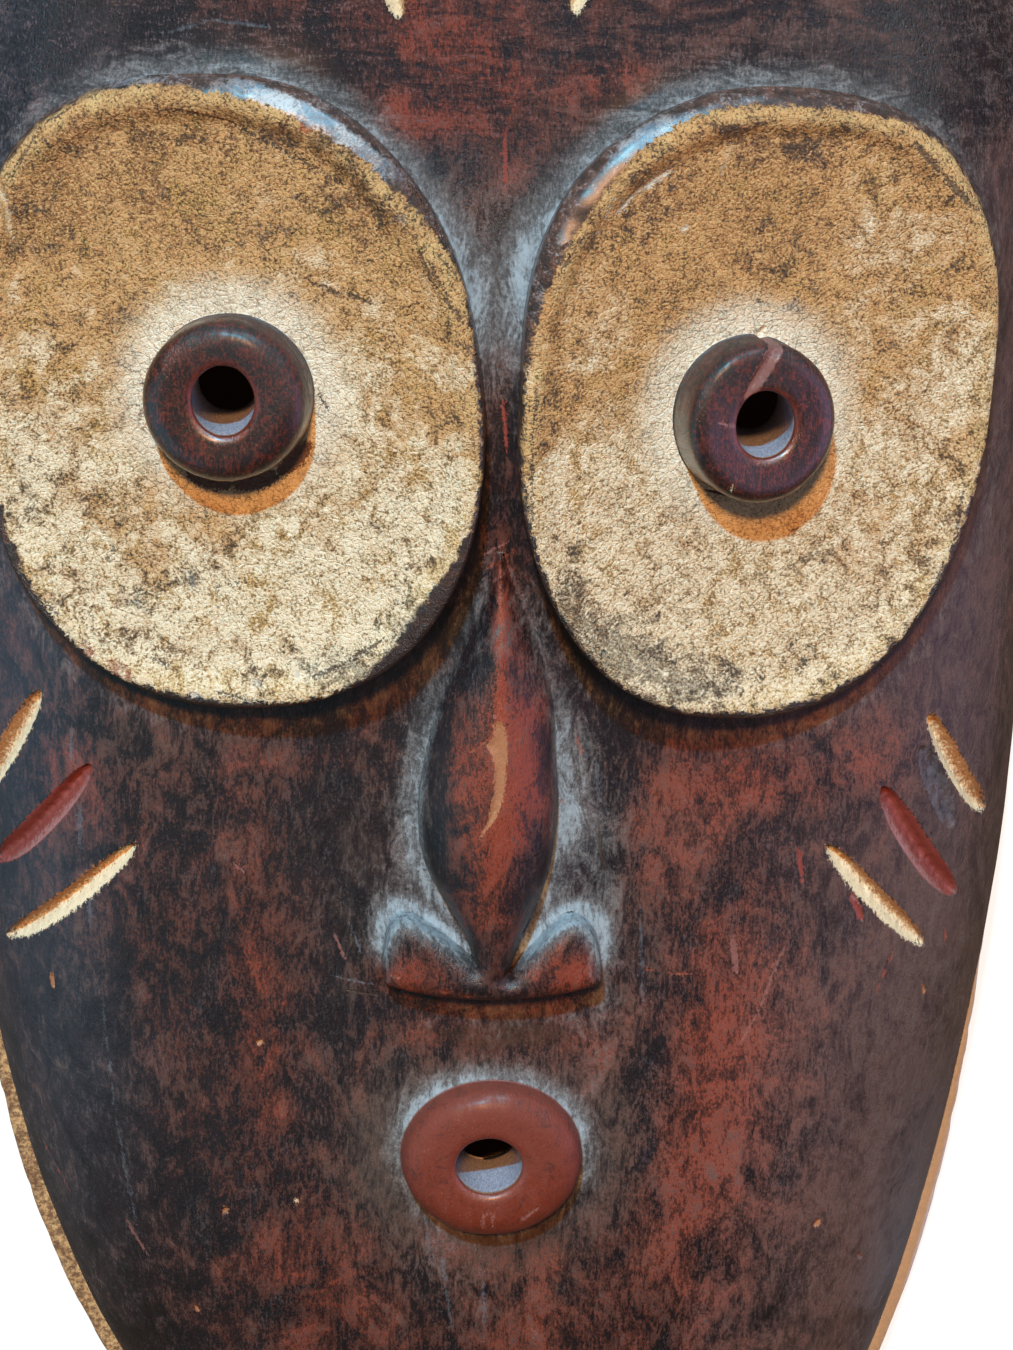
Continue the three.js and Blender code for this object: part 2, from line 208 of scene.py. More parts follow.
# Points on the mask: how close they are on plain parts, on carved parts and in the cuts.
PLAIN_STEP = 2.1
DISC_SPACING = 1.05
KNOB_SPACING = 0.9
WING_SPACING = 0.7
CRESCENT_SPACING = 0.5
GOUGE_STEP = 0.55
NICK_STEP = 0.3
BACK_STEP = 3.2
RIM_POINTS = 640
BORE_POINTS = 56
BORE_STEPS = np.linspace(0, 1, 9)[1:-1]
LAY_TURNS = 720
LAY_STEPS = 300
LAY_CROWDING = 2.5

# Where handling has rubbed through to the red, and where dust has settled, as middle, reach
# across and up, and amount.
RUBBED = [
    (-1, 0, 8, 24, 0.5), (-15, -36, 7, 6, 0.6), (15, -36, 7, 6, 0.65), (43, -46, 10, 36, 0.42),
    (38, -92, 15, 30, 0.32), (28, -16, 5, 13, 0.45), (50, 0, 24, 7, 0.32), (72, 2, 12, 12, 0.25),
    (57, -60, 9, 40, 0.15), (-44, -50, 6, 28, 0.25), (-66, -32, 9, 26, 0.12), (-80, -2, 12, 12, 0.3),
    (-32, -104, 12, 22, 0.25), (-48, 0, 26, 8, 0.12), (-16, 136, 14, 7, 0.3), (-10, 124, 9, 9, 0.25),
    (0, 124, 5, 16, 0.28), (-45, 140, 20, 4, 0.2), (18, 128, 10, 4, 0.3), (-18, 121, 9, 4, 0.3),
    (5, -108, 18, 14, 0.2), (0, 40, 3, 9, 0.4), (0, 170, 60, 30, 0.15), (10, -150, 40, 40, 0.2),
    # The patch at (0, -52), below the nose wings, is painted shade.
    (-78, -75, 14, 50, -0.35), (82, -70, 14, 45, -0.25), (-26, -12, 8, 18, -0.3), (0, -52, 20, 8, 0.3),
    (0, -96, 16, 8, 0.15), (-12, -2, 2.6, 22, -0.6), (8, -16, 4, 8, -0.35), (0.4, 24, 1.2, 14, 0.6),
    (5, 4, 4, 18, 0.35), (-5, 27, 3, 10, -0.4), (-70, 135, 30, 8, -0.3), (75, 132, 25, 8, -0.3),
]
VEILED = [
    (0, -62, 16, 7, 0.35), (0, -100, 22, 18, 0.4), (26, -75, 10, 25, 0.35), (-22, -75, 11, 20, 0.45),
    (-24, -28, 10, 20, 0.3), (26, -20, 9, 26, 0.45), (50, 134, 40, 13, 0.15), (0, 110, 14, 20, 0.15),
    (88, -50, 20, 60, 0.45), (-60, 5, 20, 14, 0.3), (88, 60, 12, 80, 0.4),
]
DUSTY = [
    (-21, -24, 7, 8, 0.5), (18, -6, 5, 18, 0.5), (-4.6, 26, 3.2, 9, 0.3), (6.5, 22, 3.0, 9, 0.45),
    (22, -22, 4, 20, 0.4), (-15, -31, 4, 3, 0.3), (19, -40, 5, 14, 0.35), (0, 97, 8, 14, 0.6),
    (0, 68, 5, 16, -0.4), (0, 52, 6, 7, -0.3), (-14, -66, 8, 9, 0.25), (18, -78, 5, 16, 0.3),
    (-12, -100, 9, 14, 0.25), (0, -105, 12, 10, 0.2), (0, 25, 3, 10, 0.25), (-90, -95, 14, 40, 0.2),
    (90, -60, 12, 40, 0.2),
]

# Where the bare wood at a disc's edge gets a painted highlight, in the same form.
PAINTED_GLEAMS = [
    (-44, 126, 8, 5, 1), (-36, 124, 8, 5, 1), (-28, 119, 8, 7, 1), (-21, 113, 6, 7, 0.6),
    (-66, 127, 10, 4, 0.7), (17, 116, 5, 5, 0.6), (24, 119, 6, 4, 1), (31, 121.5, 5, 3, 0.7),
]

# Dark patches on the discs' paint, and painted shadows on the wood, in the same form.
SOOT_AND_SHADOW = [
    (-29, 23, 13, 6, 0.8), (-15, 33, 6, 9, 0.7), (-57, 39, 5, 3, 0.5), (-65, 34, 4, 5, 0.5),
    (-48.6, 44, 4, 2.5, 0.4), (-85, 54, 6, 8, 0.6), (-38, 118, 16, 3.5, 0.7), (-27, 109, 8, 5, 0.7),
    (-64, 118, 12, 4, 0.4), (-79, 80, 5, 6, 0.4), (-66, 68, 5, 7, 0.35), (-29, 91, 9, 2, 0.7),
    (21, 29, 9, 7, 0.9), (34, 21, 14, 6, 0.8), (12, 38, 4, 10, 0.7), (42, 118, 18, 4, 0.8),
    (24, 108, 7, 6, 0.7), (47, 96, 7, 3, 0.6), (72, 92, 7, 4, 0.5), (66, 110, 10, 4, 0.5),
    # The last two are painted shadows below the nose and the lips; the patches at the discs' lower edges
    # also lay painted shade on the wood just below.
    (60, 22, 12, 4, 0.4), (2, -51, 16, 4, 1.0), (3, -93, 12, 6, 0.8),
]

# Fine scratches and specks, and painted shadows below the pupils: a colour, then the ends and width of each
# that has it.
SCRATCHES = [
    ("blue", (80.4, 5.0, 88.4, -12.6, 5.0), (-78.6, 8.6, -78.8, 1.4, 0.7),
    (-77.4, -5.9, -77.6, -15.9, 1.2), (-75.9, -23.8, -76.1, -32.0, 0.9),
    (-74.4, -43.1, -72.0, -71.7, 0.6), (-72.0, -71.7, -68.7, -95.7, 0.6)), ("pink",
    (-48.8, -17.0, -46.5, -19.1, 0.6)), ("blue", (27.7, -24.7, 28.9, -44.2, 0.7)), ("orange",
    (15.0, 8.5, 16.1, 4.6, 0.5)), ("blue", (18.7, 4.5, 19.6, -7.5, 0.7)), ("dark",
    (19.4, -8.0, 20.9, -19.5, 0.5)), ("pink", (45.4, -31.4, 46.7, -39.0, 1.3)), ("orange",
    (34.4, -38.9, 38.3, -38.9, 0.5), (29.1, -38.0, 31.0, -38.2, 0.5)), ("pink",
    (55.5, -33.3, 51.3, -46.4, 0.7), (51.3, -46.4, 47.7, -53.6, 0.5)), ("orange",
    (77.4, -36.1, 74.1, -45.3, 0.7), (88.3, -33.3, 88.9, -37.8, 0.6), (-88.8, -83.7, -82.6, -94.5, 0.8)),
    ("pink", (-71.0, -95.0, -66.5, -103.1, 0.9)), ("blue", (-60.1, 134.5, -51.5, 137.3, 0.8),
    (-51.5, 137.3, -41.3, 136.2, 0.7)), ("red", (-0.4, 119.6, -0.2, 109.2, 0.8)), ("dark",
    (-0.6, 98.0, -1.7, 94.7, 0.5), (-1.7, 94.7, -0.6, 90.3, 0.5)), ("red", (-0.1, 72.8, 0.9, 63.0, 0.8)),
    ("pink", (-2.9, 43.7, 1.7, 46.3, 0.5)), ("orange", (-2.5, 40.9, 2.1, 44.3, 0.5)), ("pink",
    (-1.7, 38.7, 1.5, 41.7, 0.5), (-1.0, -85.0, -1.2, -88.8, 0.7), (6.4, -86.8, 9.5, -83.8, 0.8),
    (0.8, -85.2, 0.7, -88.6, 0.5)), ("blue", (10.3, 35.3, 10.9, 27.8, 0.5)), ("pink",
    (-0.8, 15.3, -0.5, 14.5, 0.6), (12.4, -3.9, 12.6, -4.7, 0.8)), ("orange",
    (-19.3, -36.4, -17.2, -36.6, 1.2), (-9.8, -39.4, -7.9, -39.5, 0.9), (-5.5, -40.2, -3.6, -40.4, 0.8),
    (6.5, -41.0, 8.4, -41.2, 0.8), (13.3, -40.6, 15.6, -40.6, 0.9), (-5.2, 7.9, -1.7, 10.9, 0.7)),
    ("blue", (-0.7, -98.8, -0.2, -118.1, 0.6), (-12.2, -88.0, -11.1, -98.8, 0.8),
    (-9.2, -94.4, -6.6, -114.6, 0.7)), ("cream", (-37.0, -85.8, -37.0, -86.8, 0.8)), ("pink",
    (-29.7, -31.0, -27.8, -36.1, 0.5)), ("blue", (-26.9, -28.9, -24.6, -35.0, 0.5),
    (-30.6, -39.2, -22.7, -41.1, 0.5)), ("dark", (-27.8, -42.2, -21.2, -43.4, 0.5)), ("pink",
    (35.6, 70.5, 39.4, 69.5, 0.6)), ("cream", (38.3, 59.0, 38.6, 58.2, 0.6),
    (-88.4, 107.7, -87.1, 105.0, 0.7), (-87.1, 105.0, -86.8, 99.7, 0.7)), ("dark",
    (-15.9, 100.6, -12.0, 92.3, 0.9), (-14.2, 98.4, -9.7, 90.6, 0.7), (-11.5, 92.3, -7.2, 86.3, 0.9),
    (-13.3, 100.1, -8.9, 95.0, 0.6), (-34.4, 92.9, -29.0, 91.0, 0.9), (-28.4, 91.2, -23.2, 89.4, 0.9),
    (-33.0, 72.9, -31.0, 69.8, 0.4)), ("blue", (-18.4, 105.7, -18.1, 103.6, 1.6),
    (-66.0, 35.2, -65.6, 33.7, 1.4), (-55.9, 39.5, -55.6, 36.7, 1.0)), ("dark",
    (-70.0, 44.3, -69.7, 43.1, 1.0), (-71.3, 42.4, -70.4, 41.6, 0.9), (-51.0, 38.0, -50.7, 37.2, 0.7),
    (-47.8, 38.5, -47.4, 37.8, 0.7), (-46.5, 38.9, -46.1, 38.2, 0.6), (-83.9, 35.5, -79.4, 31.4, 0.7)),
    ("chalk", (-56.5, 17.6, -53.4, 16.6, 2.4), (-44.5, 20.5, -43.2, 19.8, 1.6),
    (-37.4, 22.7, -36.1, 21.5, 1.6)), ("dark", (-63.4, 24.2, -59.7, 22.5, 0.8),
    (-51.0, 18.4, -44.2, 16.9, 0.7), (-34.2, 21.6, -27.9, 24.4, 0.9), (-27.9, 24.6, -20.6, 29.6, 0.9)),
    ("orange", (-35.5, 120.6, -34.0, 118.8, 1.8)), ("dark", (-85.5, 112.0, -80.5, 119.0, 0.7),
    (-86.6, 109.4, -83.3, 114.7, 0.5), (-80.5, 119.0, -74.3, 123.0, 0.7),
    (-58.5, 122.6, -48.1, 120.3, 0.8), (-48.1, 120.3, -37.7, 115.0, 0.8),
    (-37.7, 115.0, -28.2, 109.9, 0.6)), ("chalk", (37.5, 113.1, 39.2, 117.6, 0.5),
    (15.8, 102.9, 18.4, 109.1, 0.6)), ("orange", (-89.8, 40.5, -85.6, 33.6, 3.0),
    (-83.6, 31.8, -79.5, 27.5, 2.6), (-75.3, 25.8, -73.5, 24.0, 2.2), (-70.7, 23.4, -66.7, 20.1, 3.0)),
    ("dark", (71.3, 118.3, 77.4, 112.2, 1.4), (77.0, 112.6, 83.5, 106.2, 1.5),
    (83.0, 106.3, 85.4, 106.2, 0.8), (5.4, 76.9, 4.9, 68.4, 0.6), (4.9, 68.4, 5.0, 50.3, 0.6)), ("chalk",
    (31.1, 103.6, 32.0, 102.8, 1.2), (17.4, 75.0, 18.1, 74.2, 1.0)), ("dark",
    (68.6, 81.5, 69.0, 80.6, 0.8), (45.1, 90.7, 45.5, 90.1, 0.7), (70.7, 94.2, 71.1, 93.6, 0.7),
    (84.7, 56.8, 83.1, 45.6, 0.7), (81.4, 41.9, 78.9, 34.4, 0.6), (5.9, 37.9, 11.2, 30.9, 0.9),
    (11.2, 30.7, 18.1, 24.9, 0.9), (10.6, 34.4, 18.0, 28.4, 0.7), (8.5, 99.1, 11.2, 101.6, 1.0),
    (9.2, 96.4, 10.6, 99.0, 0.9)), ("chalk", (21.5, 109.2, 29.0, 113.8, 1.6),
    # The arcs below the pupils are painted shadow.
    (19.4, 106.2, 22.0, 109.4, 1.0)), ("brown", (-56.6, 58.3, -48.4, 56.1, 3.8),
    (-48.4, 56.1, -40.2, 58.3, 3.8), (-40.2, 58.3, -34.3, 64.2, 3.2), (36.5, 56.6, 44.1, 54.6, 3.8),
    (44.1, 54.6, 51.7, 56.6, 3.8), (51.7, 56.6, 57.3, 62.2, 3.2)),
]
SCRATCH_DEPTH = 0.16
PAINTS = ("cream", "red", "bare", "pink", "dark", "brown", "blue", "orange", "chalk")


def smooth(start, end, value):
    """A smooth step from 0 at start to 1 at end."""
    t = np.clip((value - start) / (end - start), 0, 1)
    return t * t * (3 - 2 * t)


def bell(value, centre, width):
    return np.exp(-(((value - centre) / width) ** 2))


def beside(gap, width):
    """1 up to an outline, falling away beyond it."""
    return bell(np.clip(gap, 0, None), 0, width)


def fading(gap, amount, reach):
    """An amount up to an outline, falling away beyond it like a fillet."""
    return amount * np.exp(-np.clip(gap, 0, None) / reach)


def signed_power(value, power):
    return np.sign(value) * np.abs(value) ** power


def through(stations, column, at):
    """A smooth curve through one column of a table, by its first column."""
    rows = np.array(sorted(stations))
    x, y = rows[:, 0], rows[:, column]
    slope = np.gradient(y, x)
    i = np.clip(np.searchsorted(x, at) - 1, 0, len(x) - 2)
    gap = x[i + 1] - x[i]
    t = np.clip((at - x[i]) / gap, 0, 1)
    rise = y[i] * (1 + 2 * t) * (1 - t) ** 2 + y[i + 1] * t * t * (3 - 2 * t)
    return rise + gap * (slope[i] * t * (1 - t) ** 2 - slope[i + 1] * t * t * (1 - t))


# Uneven hand work


def lattice_value(cell, seed):
    """A fixed value from 0 to 1 for each whole-numbered cell."""
    n = cell[..., 0] * 374761393 + cell[..., 1] * 668265263 + cell[..., 2] * 1442695041 + seed * 974711
    n = (n ^ (n >> 13)) * 1274126177
    n = n & 0xFFFFFFFF
    n = (n ^ (n >> 16)) & 0xFFFF
    return n / 65535.0


def unevenness(place, size, seed):
    """Smooth noise from -1 to 1 with lumps of the given size along X, Y and Z."""
    scaled = place / np.array(size)
    base = np.floor(scaled).astype(np.int64)
    t = scaled - base
    t = t * t * (3 - 2 * t)
    total = np.zeros(len(place))
    for corner in range(8):
        step = np.array([corner & 1, corner >> 1 & 1, corner >> 2 & 1])
        weight = np.prod(np.where(step == 1, t, 1 - t), axis=1)
        total += weight * lattice_value(base + step, seed)
    return 2 * total - 1


def scallops(u, v, width, length, seed):
    """The square of the way to the nearest tool cut's middle: shallow hollows with ridges between."""
    spot = np.stack([u / width, v / length], axis=1)
    base = np.floor(spot).astype(np.int64)
    nearest = np.full(len(u), 9.0)
    for dx in (-1, 0, 1):
        for dy in (-1, 0, 1):
            cell = np.column_stack([base + [dx, dy], np.zeros(len(u), np.int64)])
            middle = cell[:, :2] + 0.15 + 0.7 * np.stack(
                [lattice_value(cell, seed), lattice_value(cell, seed + 7)], axis=1
            )
            nearest = np.minimum(nearest, ((spot - middle) ** 2).sum(axis=1))
    return nearest


# The smooth dome


def outline_share(x, y, inset=0.0):
    """The share of the way from the middle of the face, 0, to an outline inside the rim, 1."""
    above = y > WIDEST_Y
    reach = np.where(above, CROWN_REACH, CHIN_REACH) - inset
    along = np.abs(y - WIDEST_Y) / reach
    lean = np.where(above, 0, CHIN_LEAN * along**CHIN_LEAN_POWER)
    across = np.abs(x - lean) / (HALF_WIDTH - inset)
    return across**OUTLINE_POWER_X + along ** np.where(above, CROWN_POWER_Y, CHIN_POWER_Y)


def reach_of(turns, inset=0.0):
    """How far the outline lies from the middle of the face in each direction."""
    near, far = np.zeros_like(turns), np.full_like(turns, 2 * CHIN_REACH)
    for _ in range(50):
        middle = (near + far) / 2
        inside = outline_share(middle * np.cos(turns), WIDEST_Y + middle * np.sin(turns), inset) < 1
        near, far = np.where(inside, middle, near), np.where(inside, far, middle)
    return near


def lip_width(turns):
    """The rim's lip is narrow beside the eyes and wider towards chin and crown."""
    y = WIDEST_Y + reach_of(turns) * np.sin(turns)
    chin = (LIP_AT_CHIN - LIP_AT_CHEEK) * smooth(WIDEST_Y - 40, -130, y)
    crown = (LIP_AT_CROWN - LIP_AT_CHEEK) * smooth(WIDEST_Y + 70, 190, y)
    return LIP_AT_CHEEK + np.maximum(chin, crown)


def dome_height(share, y, low, high):
    """The dome is full beside the eyes and slopes more gently to chin and crown."""
    eyes = smooth(-150, 10, y) * smooth(200, 120, y)
    end = np.where(y > WIDEST_Y, DOME_POWER_CROWN, DOME_POWER_CHIN)
    power = end + (DOME_POWER_EYES - end) * eyes
    return low + (high - low) * np.sqrt(np.clip(1 - np.clip(share, 0, 1) ** power, 0, 1))


TABLE_TURNS = np.linspace(-math.pi, math.pi, 1441)
RIM_REACH = reach_of(TABLE_TURNS)
FOOT_REACH = RIM_REACH - lip_width(TABLE_TURNS)
HOLLOW_REACH = reach_of(TABLE_TURNS, BACK_RIM_WIDTH)


def rim_reach(turns):
    return np.interp(turns, TABLE_TURNS, RIM_REACH)


def foot_reach(turns):
    return np.interp(turns, TABLE_TURNS, FOOT_REACH)


def hollow_reach(turns):
    return np.interp(turns, TABLE_TURNS, HOLLOW_REACH)


def skin(x, y):
    """The height of the smooth face, which comes down to the rim's lip."""
    turns = np.arctan2(y - WIDEST_Y, x)
    foot = foot_reach(turns)
    way = np.hypot(x, y - WIDEST_Y) / foot
    spread = 1 + (rim_reach(turns) / foot - 1) * way**2
    share = np.clip(outline_share(x * spread, WIDEST_Y + (y - WIDEST_Y) * spread), 0, 1)
    strength = KEEL_AT_CHIN + (1 - KEEL_AT_CHIN) * smooth(-10, 60, y)
    slope = np.clip(1 - np.abs(x) / KEEL_HALF_WIDTH, 0, 1)
    keel = KEEL_HEIGHT * strength * slope * (1 - share**2)
    return dome_height(share, y, RIM_THICKNESS, FACE_HEIGHT) + keel


def hollow_skin(x, y):
    """The height of the hollow's inside."""
    return dome_height(outline_share(x, y, BACK_RIM_WIDTH), y, HOLLOW_FOOT, HOLLOW_HEIGHT)


class Lay:
    """A dome's skin laid flat about its middle, so that points spread evenly over its steep sides."""

    def __init__(self, reach, height):
        turns = np.linspace(-math.pi, math.pi, LAY_TURNS + 1)
        share = 1 - (1 - np.linspace(0, 1, LAY_STEPS)) ** LAY_CROWDING
        radius = reach(turns)[:, None] * share
        x, y = radius * np.cos(turns)[:, None], WIDEST_Y + radius * np.sin(turns)[:, None]
        z = height(x, y)
        step = np.hypot(np.diff(radius, axis=1), np.diff(z, axis=1))
        self.reach = reach
        self.arc = np.hstack([np.zeros((len(turns), 1)), np.cumsum(step, axis=1)])
        self.length = self.arc[:, -1]
        even = np.linspace(0, 1, LAY_STEPS)
        self.share = np.array([np.interp(even, row / row[-1], share) for row in self.arc])

    @staticmethod
    def read(table, turns, column):
        """A value between the rows and columns of a table."""
        row = (turns + math.pi) / (2 * math.pi) * LAY_TURNS
        r = np.clip(row.astype(int), 0, LAY_TURNS - 1)
        c = np.clip(column.astype(int), 0, LAY_STEPS - 2)
        u, v = row - r, np.clip(column - c, 0, 1)
        near = table[r, c] * (1 - v) + table[r, c + 1] * v
        far = table[r + 1, c] * (1 - v) + table[r + 1, c + 1] * v
        return near * (1 - u) + far * u

    def flatten(self, x, y):
        turns = np.arctan2(y - WIDEST_Y, x)
        way = np.clip(np.hypot(x, y - WIDEST_Y) / self.reach(turns), 0, 1)
        column = (1 - (1 - way) ** (1 / LAY_CROWDING)) * (LAY_STEPS - 1)
        arc = self.read(self.arc, turns, column)
        return arc * np.cos(turns), arc * np.sin(turns)

    def lift(self, flat_x, flat_y):
        turns = np.arctan2(flat_y, flat_x)
        row = (turns + math.pi) / (2 * math.pi) * LAY_TURNS
        length = np.interp(row, np.arange(LAY_TURNS + 1), self.length)
        way = np.hypot(flat_x, flat_y) / length
        share = self.read(self.share, turns, np.clip(way, 0, 1) * (LAY_STEPS - 1))
        radius = share * self.reach(turns)
        return radius * np.cos(turns), WIDEST_Y + radius * np.sin(turns), way


class Outline:
    """A closed line on the mask, with distances to it that are negative inside."""

    def __init__(self, points, middle=(0.0, 0.0), stretch=1.0):
        self.points = np.array(points, float)
        self.middle = middle
        self.stretch = stretch
        ahead = np.roll(self.points, -1, axis=0)
        twice_area = (self.points[:, 0] * ahead[:, 1] - self.points[:, 1] * ahead[:, 0]).sum()
        if twice_area < 0:
            self.points = self.points[::-1]

    def length(self):
        return np.hypot(*(np.roll(self.points, -1, axis=0) - self.points).T).sum()

    def local(self, x, y):
        return (x - self.middle[0]) / self.stretch, y - self.middle[1]

    def world(self, u, v):
        return self.middle[0] + u * self.stretch, self.middle[1] + v

    def distance(self, x, y, reach=12.0):
        u, v = self.local(x, y)
        low, high = self.points.min(axis=0) - reach, self.points.max(axis=0) + reach
        near = np.flatnonzero((u > low[0]) & (u < high[0]) & (v > low[1]) & (v < high[1]))
        result = np.full(len(u), reach)
        a = self.points
        b = np.roll(a, -1, axis=0)
        side = b - a
        length = (side**2).sum(axis=1)
        for start in range(0, len(near), 4000):
            pick = near[start : start + 4000]
            p = np.stack([u[pick], v[pick]], axis=1)[:, None, :]
            t = np.clip(((p - a) * side).sum(axis=2) / length, 0, 1)
            gap = np.sqrt((((a + t[..., None] * side) - p) ** 2).sum(axis=2).min(axis=1))
            spans = (a[:, 1] > p[..., 1]) != (b[:, 1] > p[..., 1])
            with np.errstate(divide="ignore", invalid="ignore"):
                crossing = a[:, 0] + (p[..., 1] - a[:, 1]) / side[:, 1] * side[:, 0]
            inside = (spans & (p[..., 0] < crossing)).sum(axis=1) % 2 == 1
            result[pick] = np.where(inside, -gap, np.minimum(gap, reach))
        return result

    def ring(self, offset, count):
        """Points along the line moved out by the offset, without those that would cross each other."""
        closed = np.vstack([self.points, self.points[:1]])
        way = np.concatenate([[0], np.cumsum(np.hypot(*np.diff(closed, axis=0).T))])
        at = np.linspace(0, way[-1], count, endpoint=False)
        spot = np.stack([np.interp(at, way, closed[:, i]) for i in (0, 1)], axis=1)
        tangent = np.roll(spot, -1, axis=0) - np.roll(spot, 1, axis=0)
        normal = np.stack([tangent[:, 1], -tangent[:, 0]], axis=1)
        normal /= np.linalg.norm(normal, axis=1)[:, None]
        moved = spot + normal * offset
        x, y = self.world(moved[:, 0], moved[:, 1])
        gap = self.distance(x, y)
        keep = np.abs(gap - offset) < 0.03 + 0.1 * abs(offset)
        return x[keep], y[keep]


def oval(x, y, half_width, half_height, power=2.0, turn=0.0, count=240):
    t = np.linspace(0, 2 * math.pi, count, endpoint=False)
    u = signed_power(np.cos(t), 2 / power) * half_width
    v = signed_power(np.sin(t), 2 / power) * half_height
    c, s = math.cos(math.radians(turn)), math.sin(math.radians(turn))
    return np.stack([x + u * c - v * s, y + u * s + v * c], axis=1)


def rounded(corners, steps=8):
    """A closed line through corners given as x, y and how far back their rounding starts."""
    points = []
    for i, (x, y, radius) in enumerate(corners):
        here = np.array([x, y])
        back = np.array(corners[i - 1][:2]) - here
        ahead = np.array(corners[(i + 1) % len(corners)][:2]) - here
        start = here + back * min(0.48, radius / np.linalg.norm(back))
        end = here + ahead * min(0.48, radius / np.linalg.norm(ahead))
        for t in np.linspace(0, 1, steps):
            points.append((1 - t) ** 2 * start + 2 * t * (1 - t) * here + t * t * end)
    return points


# The eye discs


def bulge(direction, terms):
    """The sum of bulges given as direction, spread and amount."""
    return sum(amount * toward(direction, centre, width) for centre, width, amount in terms)


def make_disc(disc):
    tilt = math.radians(disc["tilt"])
    disc["across"] = np.array([math.cos(tilt), 0, -math.sin(tilt)])
    disc["out"] = np.array([math.sin(tilt), 0, math.cos(tilt)])
    disc["middle"] = np.array([disc["x"], disc["y"], DISC_FRONT])
    edge = oval(0, 0, disc["half_width"], disc["half_height"], DISC_POWER, disc["turn"], 320)
    direction = np.degrees(np.arctan2(edge[:, 1], -disc["side"] * edge[:, 0]))
    edge *= (1 + bulge(direction, disc["bulges"]) / np.hypot(*edge.T))[:, None]
    place = (disc["x"], disc["y"])
    disc["edge"] = Outline(edge, place, math.cos(tilt))
    x, y, half_width, half_height = disc["bore"]
    middle_x = x - PUPIL_RISE * math.sin(tilt)
    disc["bore_edge"] = Outline(oval(middle_x, y, half_width, half_height, count=BORE_POINTS))
    disc["bore_back"] = Outline(oval(x, y, half_width, half_height, count=BORE_POINTS))
    x, y, half_width, half_height = disc["pupil"]
    u, v = disc["edge"].local(x, y)
    disc["pupil_edge"] = Outline(oval(u, v, half_width, half_height, count=150), place, math.cos(tilt))


def direction_on(disc, x, y):
    """The direction from a disc's middle: 0 inwards, 90 up, 180 outwards, -90 down."""
    u, v = disc["edge"].local(x, y)
    return np.degrees(np.arctan2(v, -disc["side"] * u))


def toward(direction, centre, width):
    """1 in one direction on a disc, falling away smoothly to 0 at a width either side."""
    gap = np.abs((direction - centre + 180) % 360 - 180)
    return smooth(width, 0, gap)


for disc in DISCS:
    make_disc(disc)

half_nose = np.linspace(44, -42, 70)
nose_left = np.stack([-through(NOSE_STATIONS, 1, half_nose), half_nose], axis=1)
nose_right = np.stack([through(NOSE_STATIONS, 2, half_nose), half_nose], axis=1)
NOSE_EDGE = Outline(np.vstack([nose_left, nose_right[::-1]]))
WING_EDGE = Outline(rounded(WING_CORNERS))
MOUTH_EDGE = Outline(oval(**MOUTH, count=150))
MOUTH_BORE_EDGE = Outline(oval(**MOUTH_BORE, count=BORE_POINTS))
CRESCENT_EDGE = Outline(rounded([(x, y, 1.0) for x, y in CRESCENT], 4))


def disc_shoulder(disc, direction):
    """How wide the rounding of a disc's edge is: broad above, crisp below."""
    inner_top = toward(direction, 62, 60)
    outer_top = toward(direction, 125, 60)
    return 1.3 + 3.4 * inner_top + 1.6 * outer_top


def disc_fillet(direction):
    """How much of the step up to the disc the wood beside it takes, and how far out that runs."""
    top = toward(direction, 90, 95)
    inner = toward(direction, 0, 60)
    outer = toward(direction, 180, 70)
    share = 0.04 + 0.8 * top + 0.3 * inner + 0.3 * outer
    return np.clip(share, 0, 0.92), 1.5 + 4.0 * top + 2.0 * inner


def quarter(t):
    """A quarter round: 1 at t = 0, 0 from t = 1 on."""
    return 1 - np.sqrt(np.clip(1 - (1 - np.clip(t, 0, 1)) ** 2, 0, 1))


def pupil_profile(disc, inside, bore_gap):
    """The pupil's rise above the disc, from the way in from its foot and out from its bore."""
    wide = disc["pupil_shoulder"]
    top = PUPIL_RISE + DISC_DISH - SHOULDER_DROP * wide * quarter((inside - PUPIL_WALL) / wide)
    worn = PUPIL_WEAR * quarter(bore_gap / PUPIL_WEAR_REACH)
    slope = PUPIL_SLOPE * smooth(PUPIL_SLOPE_REACH, 0, bore_gap)
    return smooth(0, PUPIL_WALL, inside) * (top - worn - slope)


def disc_front(disc, x, y, edge, direction):
    """How far a disc's front stands out from its own plane."""
    inside = -edge
    wide = disc_shoulder(disc, direction)
    shoulder = -SHOULDER_DROP * wide * quarter((inside - DISC_WALL) / wide)
    lip = wide + 1.6
    dish = DISC_DISH * (0.55 * smooth(lip, lip + 6, inside) + 0.45 * smooth(lip + 2, lip + 26, inside))
    pupil = disc["pupil_edge"].distance(x, y, 20.0)
    bore = disc["bore_edge"].distance(x, y)
    upper = toward(direction, 70, 110)
    ridge = LIP_RIDGE * (0.35 + 0.65 * upper) * bell(inside, wide + 1.2, 1.7)
    crease = LIP_CREASE * upper * bell(inside, wide + 4.6, 1.3)
    return shoulder - dish + ridge - crease + pupil_profile(disc, -pupil, bore), pupil, bore


